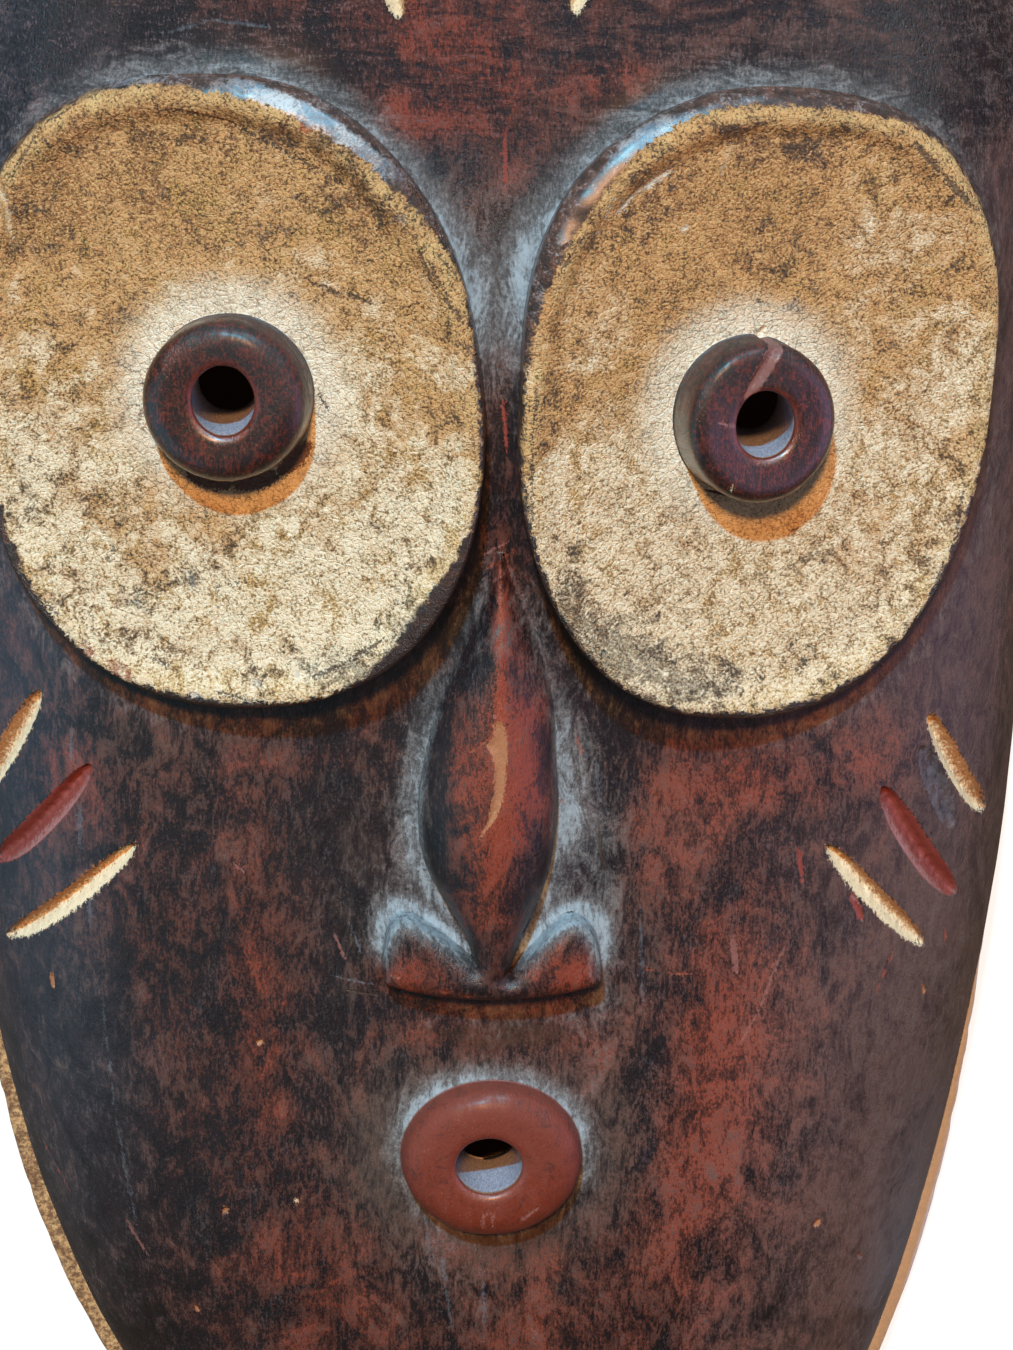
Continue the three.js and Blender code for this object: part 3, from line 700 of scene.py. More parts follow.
def raise_discs(place, x, y):
    """Moves the points of the discs to their tilted fronts, and the wood beside them up to meet them."""
    near = {}
    gap = np.ones(len(x))
    target = np.zeros(len(x))
    found = []
    for disc in DISCS:
        edge = disc["edge"].distance(x, y, 30.0)
        direction = direction_on(disc, x, y)
        share, run = disc_fillet(direction)
        plane = DISC_FRONT - math.tan(math.radians(disc["tilt"])) * (x - disc["x"])
        low_edge = plane - SHOULDER_DROP * disc_shoulder(disc, direction)
        weight = fading(edge, share, run)
        target += weight * low_edge
        gap *= 1 - weight
        found.append((disc, edge, direction, weight))
    total = sum(weight for *_, weight in found)
    blend = 1 - gap
    mean = target / np.maximum(total, 1e-9)
    place[:, 2] += blend * (mean - place[:, 2])
    for disc, edge, direction, _ in found:
        front, pupil, bore = disc_front(disc, x, y, edge, direction)
        u, v = disc["edge"].local(x, y)
        up = np.array([0, 1, 0])
        on_disc = disc["middle"] + u[:, None] * disc["across"] + v[:, None] * up
        on_disc += front[:, None] * disc["out"]
        weight = smooth(0, DISC_WALL, -edge)[:, None]
        place += weight * (on_disc - place)
        near[disc["side"]] = dict(edge=edge, direction=direction, pupil=pupil, bore=bore)
    return near


# Nose and lips


def nose_rise(x, y):
    left, right = through(NOSE_STATIONS, 1, y), through(NOSE_STATIONS, 2, y)
    rise, power = through(NOSE_STATIONS, 3, y), through(NOSE_STATIONS, 4, y)
    half = np.where(x < 0, left, right)
    t = np.clip(1 - np.abs(x) / half, 0, 1)
    section = (1 - (1 - t) ** power) ** (1 / power)
    return rise * section * smooth(44.5, 43, y)


def shouldered(inside, wall, shoulder, drop):
    """A profile with a steep wall and a rounded top edge, from the way in from its foot."""
    return smooth(0, wall, inside) * (1 - drop * quarter((inside - wall) / shoulder))


def raise_nose(place, x, y):
    nose = NOSE_EDGE.distance(x, y)
    wing = WING_EDGE.distance(x, y)
    level = skin(np.zeros(1), np.full(1, WING_LEVEL_Y))[0]
    # The nose runs out onto the bar between the wings.
    on_bar = shouldered(-wing, WING_WALL, WING_SHOULDER, WING_DROP)
    body = nose_rise(x, y) * smooth(-41, -35.5, y)
    bar_top = level + WING_HEIGHT - WING_BOW * x**2 - place[:, 2]
    bar = np.where(wing < 0, bar_top * on_bar, 0)
    both = np.maximum(body, bar)
    meeting = bell(body - bar, 0, 1.2) * 0.25 * (body > 0.5) * (bar > 0.5)
    fillet = fading(np.minimum(nose, wing + 0.5), NOSE_FILLET, NOSE_FILLET_REACH)
    fillet = fillet * smooth(-44, -36, y) * smooth(46, 30, y)
    place[:, 2] += np.maximum(both + meeting, fillet * (both < fillet))
    return nose, wing


def raise_mouth(place, x, y):
    mouth = MOUTH_EDGE.distance(x, y)
    bore = MOUTH_BORE_EDGE.distance(x, y)
    ring = MOUTH_RISE * shouldered(-mouth, MOUTH_WALL, MOUTH_SHOULDER, MOUTH_DROP)
    worn = MOUTH_WEAR * quarter(bore / MOUTH_WEAR_REACH)
    fillet = fading(mouth, MOUTH_FILLET, MOUTH_FILLET_REACH) * smooth(-82, -66, y)
    place[:, 2] += np.where(mouth < 0, np.maximum(ring - worn, fillet), fillet)
    return mouth, bore


def carved_front(x, y):
    """The places of points on the front of the mask, and how far they are from what is carved there."""
    place = np.stack([x, y, skin(x, y)], axis=1)
    nose, wing = raise_nose(place, x, y)
    mouth, mouth_bore = raise_mouth(place, x, y)
    discs = raise_discs(place, x, y)
    return place, dict(nose=nose, wing=wing, mouth=mouth, mouth_bore=mouth_bore, discs=discs)


# Gouged marks and nicks


class Cut:
    """A boat-shaped cut between two places, in a frame of its own on the carved surface."""

    def __init__(self, start_x, start_y, end_x, end_y, width, depth, bow, paint):
        self.step = min(GOUGE_STEP, max(NICK_STEP, 0.3 * width))
        start, end = np.array([start_x, start_y]), np.array([end_x, end_y])
        middle = (start + end) / 2
        spots = np.array([start, end, middle, middle + [0.6, 0], middle + [0, 0.6]])
        place, _ = carved_front(spots[:, 0], spots[:, 1])
        self.middle = np.array([*middle, place[2, 2]])
        along = place[1] - place[0]
        self.half_length = np.linalg.norm(along) / 2
        self.half_width, self.depth, self.bow, self.paint = width / 2, depth, bow, paint
        out = np.cross(place[3] - place[2], place[4] - place[2])
        along /= np.linalg.norm(along)
        across = np.cross(out, along)
        self.along, self.across = along, across / np.linalg.norm(across)

    def shares(self, x, y):
        """The way along and across the cut, where its outline is at a sum of powers of 1."""
        slopes = np.array([self.along[:2], self.across[:2]]).T
        way = np.linalg.solve(slopes, np.array([x - self.middle[0], y - self.middle[1]]))
        close = np.hypot(*way) < self.half_length + self.half_width + 3
        s = way[0] / self.half_length
        return s, (way[1] - self.bow * (1 - s**2)) / self.half_width, close

    def inside(self, x, y):
        """How far in from the cut's outline a point is, negative outside."""
        s, t, close = self.shares(x, y)
        level = 1 - np.abs(s) ** GOUGE_END_POWER - t**2
        slope_s = GOUGE_END_POWER * np.abs(s) ** (GOUGE_END_POWER - 1) / self.half_length
        slope = np.hypot(slope_s, 2 * np.abs(t) / self.half_width)
        gap = level / np.maximum(slope, 0.6 / self.half_width)
        return np.where(close, np.clip(gap, -3, self.half_width), -3)

    def rising(self, x, y):
        """The way across the cut where it is near: -1 at its lower edge, 1 at its upper one."""
        s, t, close = self.shares(x, y)
        close = close & (np.abs(s) < 1.1) & (np.abs(t) < 1.4)
        return np.where(close, t * np.sign(self.across[1]), 0)

    def hollow(self, x, y):
        s, t, close = self.shares(x, y)
        level = np.clip(1 - np.abs(s) ** GOUGE_END_POWER - t**2, 0, 1)
        up = t * np.sign(self.across[1])
        lower_side = smooth(-1.1, 1 - UPPER_WALL, up)
        upper_side = smooth(1, 1 - UPPER_WALL, up)
        lopsided = np.minimum(lower_side, upper_side) * level**0.25
        return np.where(close, self.depth * np.maximum(lopsided, 0.4 * level**0.8), 0)

    def outline(self, offset, count):
        turns = np.linspace(0, 2 * math.pi, count, endpoint=False)
        s = signed_power(np.cos(turns), 2 / GOUGE_END_POWER)
        t = np.sin(turns)
        return self.plan(s * (1 + offset / self.half_length), t * (1 + offset / self.half_width))

    def plan(self, s, t):
        across = t * self.half_width + self.bow * (1 - s**2)
        spot = self.middle + (s * self.half_length)[:, None] * self.along + across[:, None] * self.across
        return spot[:, 0], spot[:, 1]

    def filling(self, step):
        """Points over the inside of the cut."""
        rows = max(3, int(2 * self.half_width / step) + 1)
        columns = max(4, int(2 * self.half_length / step) + 1)
        t, s = np.meshgrid(np.linspace(-1, 1, rows), np.linspace(-1, 1, columns), indexing="ij")
        s = s + (np.arange(rows) % 2)[:, None] * 0.5 * step / self.half_length
        keep = np.abs(s) ** GOUGE_END_POWER + t**2 < (1 - 0.6 * step / self.half_width) ** 2
        return self.plan(s[keep], t[keep])


CUTS = [Cut(*cut) for cut in GOUGES + NICKS]
for colour_name, *places in SCRATCHES:
    CUTS += [Cut(*ends, width, SCRATCH_DEPTH * width, 0.0, colour_name) for *ends, width in places]


# Points and triangles


class Sheet:
    """Collects points and lines on a laid-out surface, then joins them by triangles."""

    def __init__(self, lay):
        self.lay = lay
        self.x, self.y, self.lines, self.count = [], [], [], 0

    def add(self, x, y, closed=False):
        start = self.count
        self.x.append(x)
        self.y.append(y)
        self.count += len(x)
        index = np.arange(start, self.count)
        if closed:
            self.lines.append(np.stack([index, np.roll(index, -1)], axis=1))
        return index

    def triangles(self, foot, holes):
        """Plan places of the points, the triangles, and each given point's number among them."""
        x, y = np.concatenate(self.x), np.concatenate(self.y)
        flat = np.stack(self.lay.flatten(x, y), axis=1)
        lines = np.concatenate(self.lines)
        spots, _, faces, origin, _, _ = delaunay_2d_cdt(
            [tuple(p) for p in flat.tolist()], [tuple(e) for e in lines.tolist()], [], 1, 1e-5, True
        )
        spots = np.array([tuple(p) for p in spots])
        number = np.full(len(x), -1)
        out_x, out_y, _ = self.lay.lift(spots[:, 0], spots[:, 1])
        for i, sources in enumerate(origin):
            if sources:
                number[sources] = i
                out_x[i], out_y[i] = x[sources[0]], y[sources[0]]
        faces = np.array(faces)
        hole_of = np.zeros(len(spots), int)
        for mark, hole in enumerate(holes, 1):
            hole_of[number[hole]] = mark
        corners = hole_of[faces]
        in_hole = (corners[:, 0] > 0) & (corners[:, 0] == corners[:, 1]) & (corners[:, 1] == corners[:, 2])
        step_of = np.full(len(spots), -1)
        step_of[number[foot]] = np.arange(len(foot))
        steps = np.sort(step_of[faces], axis=1)
        first, second, third = (spots[number[foot]][steps[:, i]] for i in range(3))
        ahead, across = second - first, third - first
        turns_back = ahead[:, 0] * across[:, 1] - ahead[:, 1] * across[:, 0] < 0
        beyond_foot = (steps[:, 0] >= 0) & turns_back
        return out_x, out_y, faces[~in_hole & ~beyond_foot], number


def lattice(lay, step, finer=False):
    """Points of an even triangular lattice on the laid-out surface, or those that a finer one adds,
    with how far each lies from the surface's edge."""
    size = lay.length.max() + step
    rows = int(size / (step * math.sqrt(0.75))) + 1
    columns = int(size / step) + 1
    j, i = np.meshgrid(np.arange(-rows, rows + 1), np.arange(-2 * columns, 2 * columns + 1), indexing="ij")
    keep = (i % 2 == 1) | (j % 2 == 1) if finer else np.ones_like(i, bool)
    i, j = i[keep], j[keep]
    flat_x, flat_y = step * (i + j / 2), step * math.sqrt(0.75) * j
    x, y, way = lay.lift(flat_x, flat_y)
    inside = way < 1
    x, y, way = x[inside], y[inside], way[inside]
    from_middle = np.hypot(flat_x, flat_y)[inside]
    return x, y, from_middle / np.maximum(way, 1e-9) - from_middle


def spread(distance, inner, outer, margin):
    """True for points that keep clear of a set of rings between two offsets."""
    return (distance < inner - margin) | (distance > outer + margin)


def clear_of_rings(x, y, margin):
    keep = np.ones(len(x), bool)
    for disc in DISCS:
        direction = direction_on(disc, x, y)
        wide = disc_shoulder(disc, direction)
        edge = disc["edge"].distance(x, y)
        keep &= (edge > 0.7 + margin) | (edge < -DISC_WALL - wide - margin)
        keep &= spread(disc["pupil_edge"].distance(x, y), -disc["pupil_shoulder"] - 0.4, 0.6, margin)
        keep &= disc["bore_edge"].distance(x, y) > 1.6 + margin
    keep &= spread(NOSE_EDGE.distance(x, y), -1.6, 0.6, margin)
    keep &= spread(WING_EDGE.distance(x, y), -1.9, 0.6, margin)
    keep &= spread(MOUTH_EDGE.distance(x, y), -MOUTH_SHOULDER - 0.4, 0.6, margin)
    keep &= MOUTH_BORE_EDGE.distance(x, y) > 2.2 + margin
    for cut in CUTS:
        s, t, close = cut.shares(x, y)
        keep &= ~close | (np.abs(s) ** GOUGE_END_POWER + t**2 > (1 + (margin + 0.2) / cut.half_width) ** 2)
    return keep


def carved_nearby(x, y):
    """True where the surface needs closer points."""
    near = np.zeros(len(x), bool)
    for disc in DISCS:
        edge = disc["edge"].distance(x, y, 20.0)
        near |= (edge > -9) & (edge < 3)
        near |= disc["pupil_edge"].distance(x, y) < 3
    near |= NOSE_EDGE.distance(x, y) < 5
    near |= WING_EDGE.distance(x, y) < 4
    near |= MOUTH_EDGE.distance(x, y) < 5
    near |= (np.abs(x) < 16) & (y > 20) & (y < 130)
    return near


def rings_of(sheet, outline, offsets, spacing):
    for offset in offsets:
        sheet.add(*outline.ring(offset, int(outline.length() / spacing)), closed=True)


def knob_rings(sheet, outline, wall, shoulder):
    """Rings over the wall and the rounded edge of a pupil or the lips."""
    steps = [0.5, 0.2, 0, -0.1, -0.2, -0.3, -0.4]
    steps += [-wall - shoulder * share for share in (0.05, 0.15, 0.3, 0.5, 0.75, 1.0)]
    rings_of(sheet, outline, steps, KNOB_SPACING)


def disc_rings(sheet, disc):
    outline = disc["edge"]
    rings_of(sheet, outline, (0.6, 0.25, 0.0, -0.1, -0.2, -0.3, -0.4, -0.5), DISC_SPACING)
    count = int(outline.length() / DISC_SPACING)
    for share in (0.06, 0.2, 0.42, 0.7, 1.0):
        x, y = outline.ring(-DISC_WALL, count)
        depth = share * disc_shoulder(disc, direction_on(disc, x, y))
        u, v = outline.local(x, y)
        middle_way = np.hypot(u, v)
        x, y = outline.world(u - u / middle_way * depth, v - v / middle_way * depth)
        sheet.add(x, y, closed=True)


def bore_rings(sheet, outline, offsets):
    x, y = outline.points.T
    edge = sheet.add(*outline.world(x, y), closed=True)
    for offset in offsets:
        sheet.add(*outline.ring(offset, len(x)), closed=True)
    return edge


def clear_of_bores(x, y):
    edges = [DISCS[0]["bore_edge"], DISCS[1]["bore_edge"], MOUTH_BORE_EDGE]
    return np.min([edge.distance(x, y) for edge in edges], axis=0) > 1.7


def cut_points(sheet, cut):
    step = cut.step
    count = int(4.4 * cut.half_length / step)
    for offset in (0.4 * step, 0.0, -0.5 * step):
        x, y = cut.outline(offset, count)
        keep = clear_of_bores(x, y)
        sheet.add(x[keep], y[keep], closed=offset == 0 and keep.all())
    x, y = cut.filling(step)
    keep = clear_of_bores(x, y)
    sheet.add(x[keep], y[keep])


def rim_turns():
    """Directions whose points are evenly spaced along the rim."""
    x, y = RIM_REACH * np.cos(TABLE_TURNS), RIM_REACH * np.sin(TABLE_TURNS)
    way = np.concatenate([[0], np.cumsum(np.hypot(np.diff(x), np.diff(y)))])
    return np.interp(np.linspace(0, way[-1], RIM_POINTS, endpoint=False), way, TABLE_TURNS)


def front_sheet():
    lay = Lay(foot_reach, skin)
    sheet = Sheet(lay)
    turns = rim_turns()
    reach = foot_reach(turns)
    foot = sheet.add(reach * np.cos(turns), WIDEST_Y + reach * np.sin(turns), closed=True)
    holes = []
    for disc in DISCS:
        disc_rings(sheet, disc)
        knob_rings(sheet, disc["pupil_edge"], PUPIL_WALL, disc["pupil_shoulder"])
        holes.append(bore_rings(sheet, disc["bore_edge"], (0.12, 0.35, 0.75, 1.2, 1.6)))
    rings_of(sheet, NOSE_EDGE, (0.5, 0.2, 0, -0.1, -0.25, -0.5, -0.9, -1.5), KNOB_SPACING)
    rings_of(sheet, WING_EDGE, (0.5, 0.2, 0, -0.1, -0.2, -0.3, -0.4, -0.5, -0.7, -1.1, -1.7), WING_SPACING)
    knob_rings(sheet, MOUTH_EDGE, MOUTH_WALL, MOUTH_SHOULDER)
    holes.append(bore_rings(sheet, MOUTH_BORE_EDGE, (0.15, 0.5, 1.0, 1.6, 2.2)))
    rings_of(sheet, CRESCENT_EDGE, (0.2, 0.0, -0.3), CRESCENT_SPACING)
    for cut in CUTS:
        cut_points(sheet, cut)
    x, y, from_edge = lattice(lay, PLAIN_STEP)
    keep = clear_of_rings(x, y, 0.6) & (from_edge > 1.0)
    sheet.add(x[keep], y[keep])
    x, y, from_edge = lattice(lay, PLAIN_STEP / 2, finer=True)
    keep = carved_nearby(x, y) & (from_edge > 1.0)
    x, y = x[keep], y[keep]
    keep = clear_of_rings(x, y, 0.4)
    sheet.add(x[keep], y[keep])
    return sheet, foot, holes


def back_sheet():
    lay = Lay(hollow_reach, hollow_skin)
    sheet = Sheet(lay)
    turns = rim_turns()
    reach = hollow_reach(turns)
    foot = sheet.add(reach * np.cos(turns), WIDEST_Y + reach * np.sin(turns), closed=True)
    x, y, from_edge = lattice(lay, BACK_STEP)
    keep = from_edge > 1.5
    holes = []
    for outline in (DISCS[0]["bore_back"], DISCS[1]["bore_back"], MOUTH_BORE_EDGE):
        holes.append(bore_rings(sheet, outline, (0.3, 0.8)))
        keep &= outline.distance(x, y) > 2
    sheet.add(x[keep], y[keep])
    return sheet, foot, holes


def vertex_normals(place, faces):
    a, b, c = (place[faces[:, i]] for i in range(3))
    face_normal = np.cross(b - a, c - a)
    normal = np.zeros_like(place)
    for i in range(3):
        np.add.at(normal, faces[:, i], face_normal)
    return normal / np.maximum(np.linalg.norm(normal, axis=1), 1e-12)[:, None]


def strip(lower, upper):
    """Two triangles for each step between two closed rings of the same count."""
    ahead = np.roll(np.arange(len(lower)), -1)
    return np.vstack([
        np.stack([lower, lower[ahead], upper[ahead]], axis=1),
        np.stack([lower, upper[ahead], upper], axis=1),
    ])


def rim_rings(turns):
    """The rim from the face's foot over its lip, down its edge and across its flat back."""
    reach, foot, inner = rim_reach(turns), foot_reach(turns), hollow_reach(turns)
    lip = reach - foot
    top = RIM_THICKNESS
    rings = []
    for share, drop in ((0.15, 0.12), (0.4, 0.15), (0.65, 0.22)):
        rings.append((foot + lip * share * 0.8, top - drop))
    for degrees in (70, 45, 20, 0):
        a = math.radians(degrees)
        rounding = np.minimum(RIM_ROUND, lip * 0.9)
        rings.append((reach - rounding + rounding * math.cos(a), top - RIM_ROUND + RIM_ROUND * math.sin(a)))
    rings.append((reach, top * 0.45))
    rings.append((reach, 0.8))
    rings.append((reach - 0.25, 0.25))
    rings.append((reach - 0.8, 0.0))
    for share in (0.35, 0.65):
        rings.append((reach + (inner - reach) * share, 0.0))
    rings.append((inner + 0.6, 0.0))
    rings.append((inner + 0.15, 0.15))
    return [
        np.stack([r * np.cos(turns), WIDEST_Y + r * np.sin(turns), np.full(len(turns), 1.0) * z], axis=1)
        for r, z in rings
    ]


# What each point tells the finishes, with the value it has away from any carving. Most are how
# far in from an outline a point lies, in millimetres.
FIELDS = dict(
    disc=-6.0, paint=-6.0, pupil=-6.0, lips=-6.0, rim=-6.0, bore=-1.0, back=0.0,
    dust=0.0, rubbed=0.0, upward=0.0, hole=6.0, veil=0.0, gleam=0.0, sooty=0.0,
)
FIELDS.update({paint: -3.0 for paint in PAINTS})


class Carving:
    """The whole mesh as it grows, with its fields."""

    def __init__(self):
        self.place, self.faces, self.fields, self.count = [], [], [], 0

    def add(self, place, **known):
        values = {name: np.full(len(place), value) for name, value in FIELDS.items()}
        values.update(known)
        self.place.append(place)
        self.fields.append(values)
        self.count += len(place)
        return np.arange(self.count - len(place), self.count)

    def whole(self):
        fields = {name: np.concatenate([part[name] for part in self.fields]) for name in FIELDS}
        return np.vstack(self.place), np.vstack(self.faces), fields


def blots(x, y, table):
    """The sum of soft spots given as middle, reach and amount."""
    return sum(amount * bell(x, a, wide) * bell(y, b, tall) for a, b, wide, tall, amount in table)


def outside(gap, onto=4):
    """The way out from an outline, which grows quickly inside it too."""
    return np.where(gap < 0, -onto * gap, gap)


def front_fields(x, y, place, near):
    """What the finishes need to know about each point of the front."""
    fields = {}
    left, right = near["discs"][-1], near["discs"][1]
    nearest = np.where(left["edge"] < right["edge"], -1, 1)
    paint = np.full(len(x), -6.0)
    bevel_dust_and_sheen = np.zeros(len(x))
    for disc in DISCS:
        found = near["discs"][disc["side"]]
        here = nearest == disc["side"]
        bare = 0.45 + bulge(found["direction"], disc["bare"])
        paint = np.where(here, -found["edge"] - bare, paint)
        top = toward(found["direction"], 78, 112)
        inner = toward(found["direction"], 10, 70)
        # Along the discs' top edges the grey is partly dust and partly painted sheen.
        bevel_dust_and_sheen += top * beside(found["edge"], 4.6) + 0.35 * inner * beside(found["edge"], 4)
    fields["disc"] = -np.minimum(left["edge"], right["edge"])
    fields["paint"] = np.clip(paint, -6, 60)
    fields["pupil"] = np.clip(-np.minimum(left["pupil"], right["pupil"]), -20, 16)
    fields["lips"] = -near["mouth"]
    hole = np.minimum(near["mouth_bore"], np.minimum(left["bore"], right["bore"]))
    fields["hole"] = np.clip(hole, 0, 6)
    fields["rim"] = -np.clip(place[:, 2] - RIM_THICKNESS, 0, 6)
    for paint_name in PAINTS:
        gaps = [cut.inside(x, y) for cut in CUTS if cut.paint == paint_name]
        fields[paint_name] = np.max(gaps, axis=0)
    fields["upward"] = sum(cut.rising(x, y) for cut in CUTS[: len(GOUGES)])
    crescent = np.clip(-CRESCENT_EDGE.distance(x, y), -3, 3)
    fields["bare"] = np.maximum(fields["bare"], crescent)
    beside_nose = bell(outside(near["nose"]), 0, 4.8) * smooth(34, 6, y) * smooth(-46, -30, y)
    beside_nose *= smooth(-1, 0.5, near["wing"])
    # Along the wings' top edges the field runs high enough for a blue-white painted highlight.
    wing_dust_and_highlight = 1.3 * bell(outside(near["wing"], 1.7), 0, 2.6) * smooth(-40, -31, y)
    wing_dust_and_highlight *= smooth(-3, 0.5, near["nose"])
    round_mouth = beside(near["mouth"], 3.6) * (0.45 + 0.55 * smooth(-95, -62, y))
    low_edge = np.minimum(left["edge"], right["edge"])
    # Grey in the shade just below the discs and the wings: painted shade.
    shade_below_discs = 0.35 * smooth(0.5, 2.5, low_edge) * smooth(9, 5.5, low_edge) * smooth(75, 50, y)
    shade_below_wings = 0.42 * bell(x, 0, 20) * bell(y, -47, 5)
    dust = np.maximum.reduce([beside_nose, wing_dust_and_highlight, round_mouth, bevel_dust_and_sheen, shade_below_discs, shade_below_wings])
    fields["dust"] = np.clip(dust + blots(x, y, DUSTY), 0, 1.2)
    for name, table in (("rubbed", RUBBED), ("gleam", PAINTED_GLEAMS), ("sooty", SOOT_AND_SHADOW)):
        fields[name] = blots(x, y, table)
    fields["veil"] = np.clip(blots(x, y, VEILED) + 0.5 * beside(near["mouth"], 11), 0, 1)
    return fields


def hand_work(place, normal, fields):
    """How far each point stands out or in from the plain form, from tools, wear and paint."""
    wood = FACET * unevenness(place, FACET_SIZE, 3) + GRAIN * unevenness(place, GRAIN_SIZE, 5)
    lumps = PAINT_LUMP * unevenness(place, PAINT_LUMP_SIZE, 7)
    lumps += 0.4 * PAINT_LUMP * unevenness(place, np.array(PAINT_LUMP_SIZE) / 3, 9)
    lumps += LIP_LUMP * bell(fields["disc"], 3.0, 3.0) * unevenness(place, LIP_LUMP_SIZE, 11)
    on_disc = smooth(0, 1.5, fields["disc"]) * smooth(0.5, -0.5, fields["pupil"])
    inside = fields["back"] > 0.5
    front = np.where(inside, 0, wood + on_disc * (lumps - wood))
    notches = -RIM_NOTCH * np.clip(unevenness(place, RIM_NOTCH_SIZE, 13), 0, 1) ** 0.7
    rim = smooth(-1.5, 0.5, fields["rim"]) * smooth(0.3, 1.5, place[:, 2])
    cut = scallops(place[:, 0], place[:, 1], ADZE_WIDTH, ADZE_LENGTH, 17)
    adze = ADZE_DEPTH * (cut - 0.45) * smooth(2, 9, place[:, 2])
    return np.where(inside, adze, front * smooth(0.3, 1.5, place[:, 2]) + rim * notches)


def mask_mesh():
    carving = Carving()
    turns = rim_turns()
    sheet, foot, front_holes = front_sheet()
    x, y, faces, front_number = sheet.triangles(foot, front_holes)
    place, near = carved_front(x, y)
    front = carving.add(place, **front_fields(x, y, place, near))
    carving.faces.append(faces)
    lower = front[front_number[foot]]
    for i, ring in enumerate(rim_rings(turns)):
        on_back = np.full(len(ring), float(ring[0, 2] < 0.2))
        upper = carving.add(ring, rim=np.full(len(ring), 0.4 * (i + 1)), back=on_back)
        carving.faces.append(strip(upper, lower))
        lower = upper
    sheet, foot, back_holes = back_sheet()
    bx, by, faces, back_number = sheet.triangles(foot, back_holes)
    hollow = np.stack([bx, by, hollow_skin(bx, by)], axis=1)
    back = carving.add(hollow, back=np.ones(len(bx)))
    carving.faces.append(back[faces[:, ::-1]])
    carving.faces.append(strip(back[back_number[foot]], lower))
    for front_hole, back_hole in zip(front_holes, back_holes):
        upper, bottom = front[front_number[front_hole]], back[back_number[back_hole]]
        start, end = place[front_number[front_hole]], hollow[back_number[back_hole]]
        for share in BORE_STEPS:
            ring = start * (1 - share) + end * share
            deep = np.full(len(ring), share * np.linalg.norm(end[0] - start[0]))
            lower = carving.add(ring, bore=deep)
            carving.faces.append(strip(upper, lower))
            upper = lower
        carving.faces.append(strip(upper, bottom))
    place, faces, fields = carving.whole()
    normal = vertex_normals(place, faces)
    depth = hand_work(place, normal, fields)
    cuts = np.zeros(len(front))
    for cut in CUTS:
        cuts = np.maximum(cuts, cut.hollow(x, y))
    cuts = np.maximum(cuts, CRESCENT_DEPTH * smooth(0, 0.7, -CRESCENT_EDGE.distance(x, y)))
    chatter = 1 + 0.16 * unevenness(place[front], (1.1, 1.1, 1.1), 19)
    depth[front] -= cuts * chatter
    return place + normal * depth[:, None], faces, fields


# Finishes

SEED_STEPS = (3.7, 1.9, 5.3)  # how far one step of a seed moves a pattern along each axis


def shade(red, green, blue):
    """A colour as it looks on a screen, from 0 to 255, turned into the shader's own values."""
    shares = [channel / 255 for channel in (red, green, blue)]
    linear = [s / 12.92 if s <= 0.04045 else ((s + 0.055) / 1.055) ** 2.4 for s in shares]
    return (*linear, 1.0)


class Amount:
    """A value that varies over a material, and is worked with as a plain number is."""

    def __init__(self, finish, socket):
        self.finish, self.socket = finish, socket

    def __add__(self, other):
        return self.finish.work("ADD", self, other)

    def __mul__(self, other):
        return self.finish.work("MULTIPLY", self, other)

    def __rsub__(self, other):
        return self.finish.work("SUBTRACT", other, self)

    def or_more(self, other):
        return self.finish.work("MAXIMUM", self, other)

    def rise(self, start, end):
        """0 up to start, 1 from end on, smooth between them."""
        inputs = {"Value": self, "From Min": start, "From Max": end}
        node = self.finish.node("ShaderNodeMapRange", inputs, interpolation_type="SMOOTHSTEP")
        return Amount(self.finish, node.outputs["Result"])

    def blend(self, low, high):
        """One value where this one is 0, another where it is 1."""
        node = self.finish.node("ShaderNodeMix", {0: self, 2: low, 3: high}, data_type="FLOAT")
        return Amount(self.finish, node.outputs[0])


class Coat:
    """A colour that others are laid over, each by its own share."""

    def __init__(self, finish, *channels):
        self.finish, self.socket = finish, shade(*channels)

    def lay(self, share, *over):
        top = over[0] if isinstance(over[0], Coat) else shade(*over)
        node = self.finish.node("ShaderNodeMix", {0: share, 6: self.socket, 7: top}, data_type="RGBA")
        self.socket = node.outputs[2]


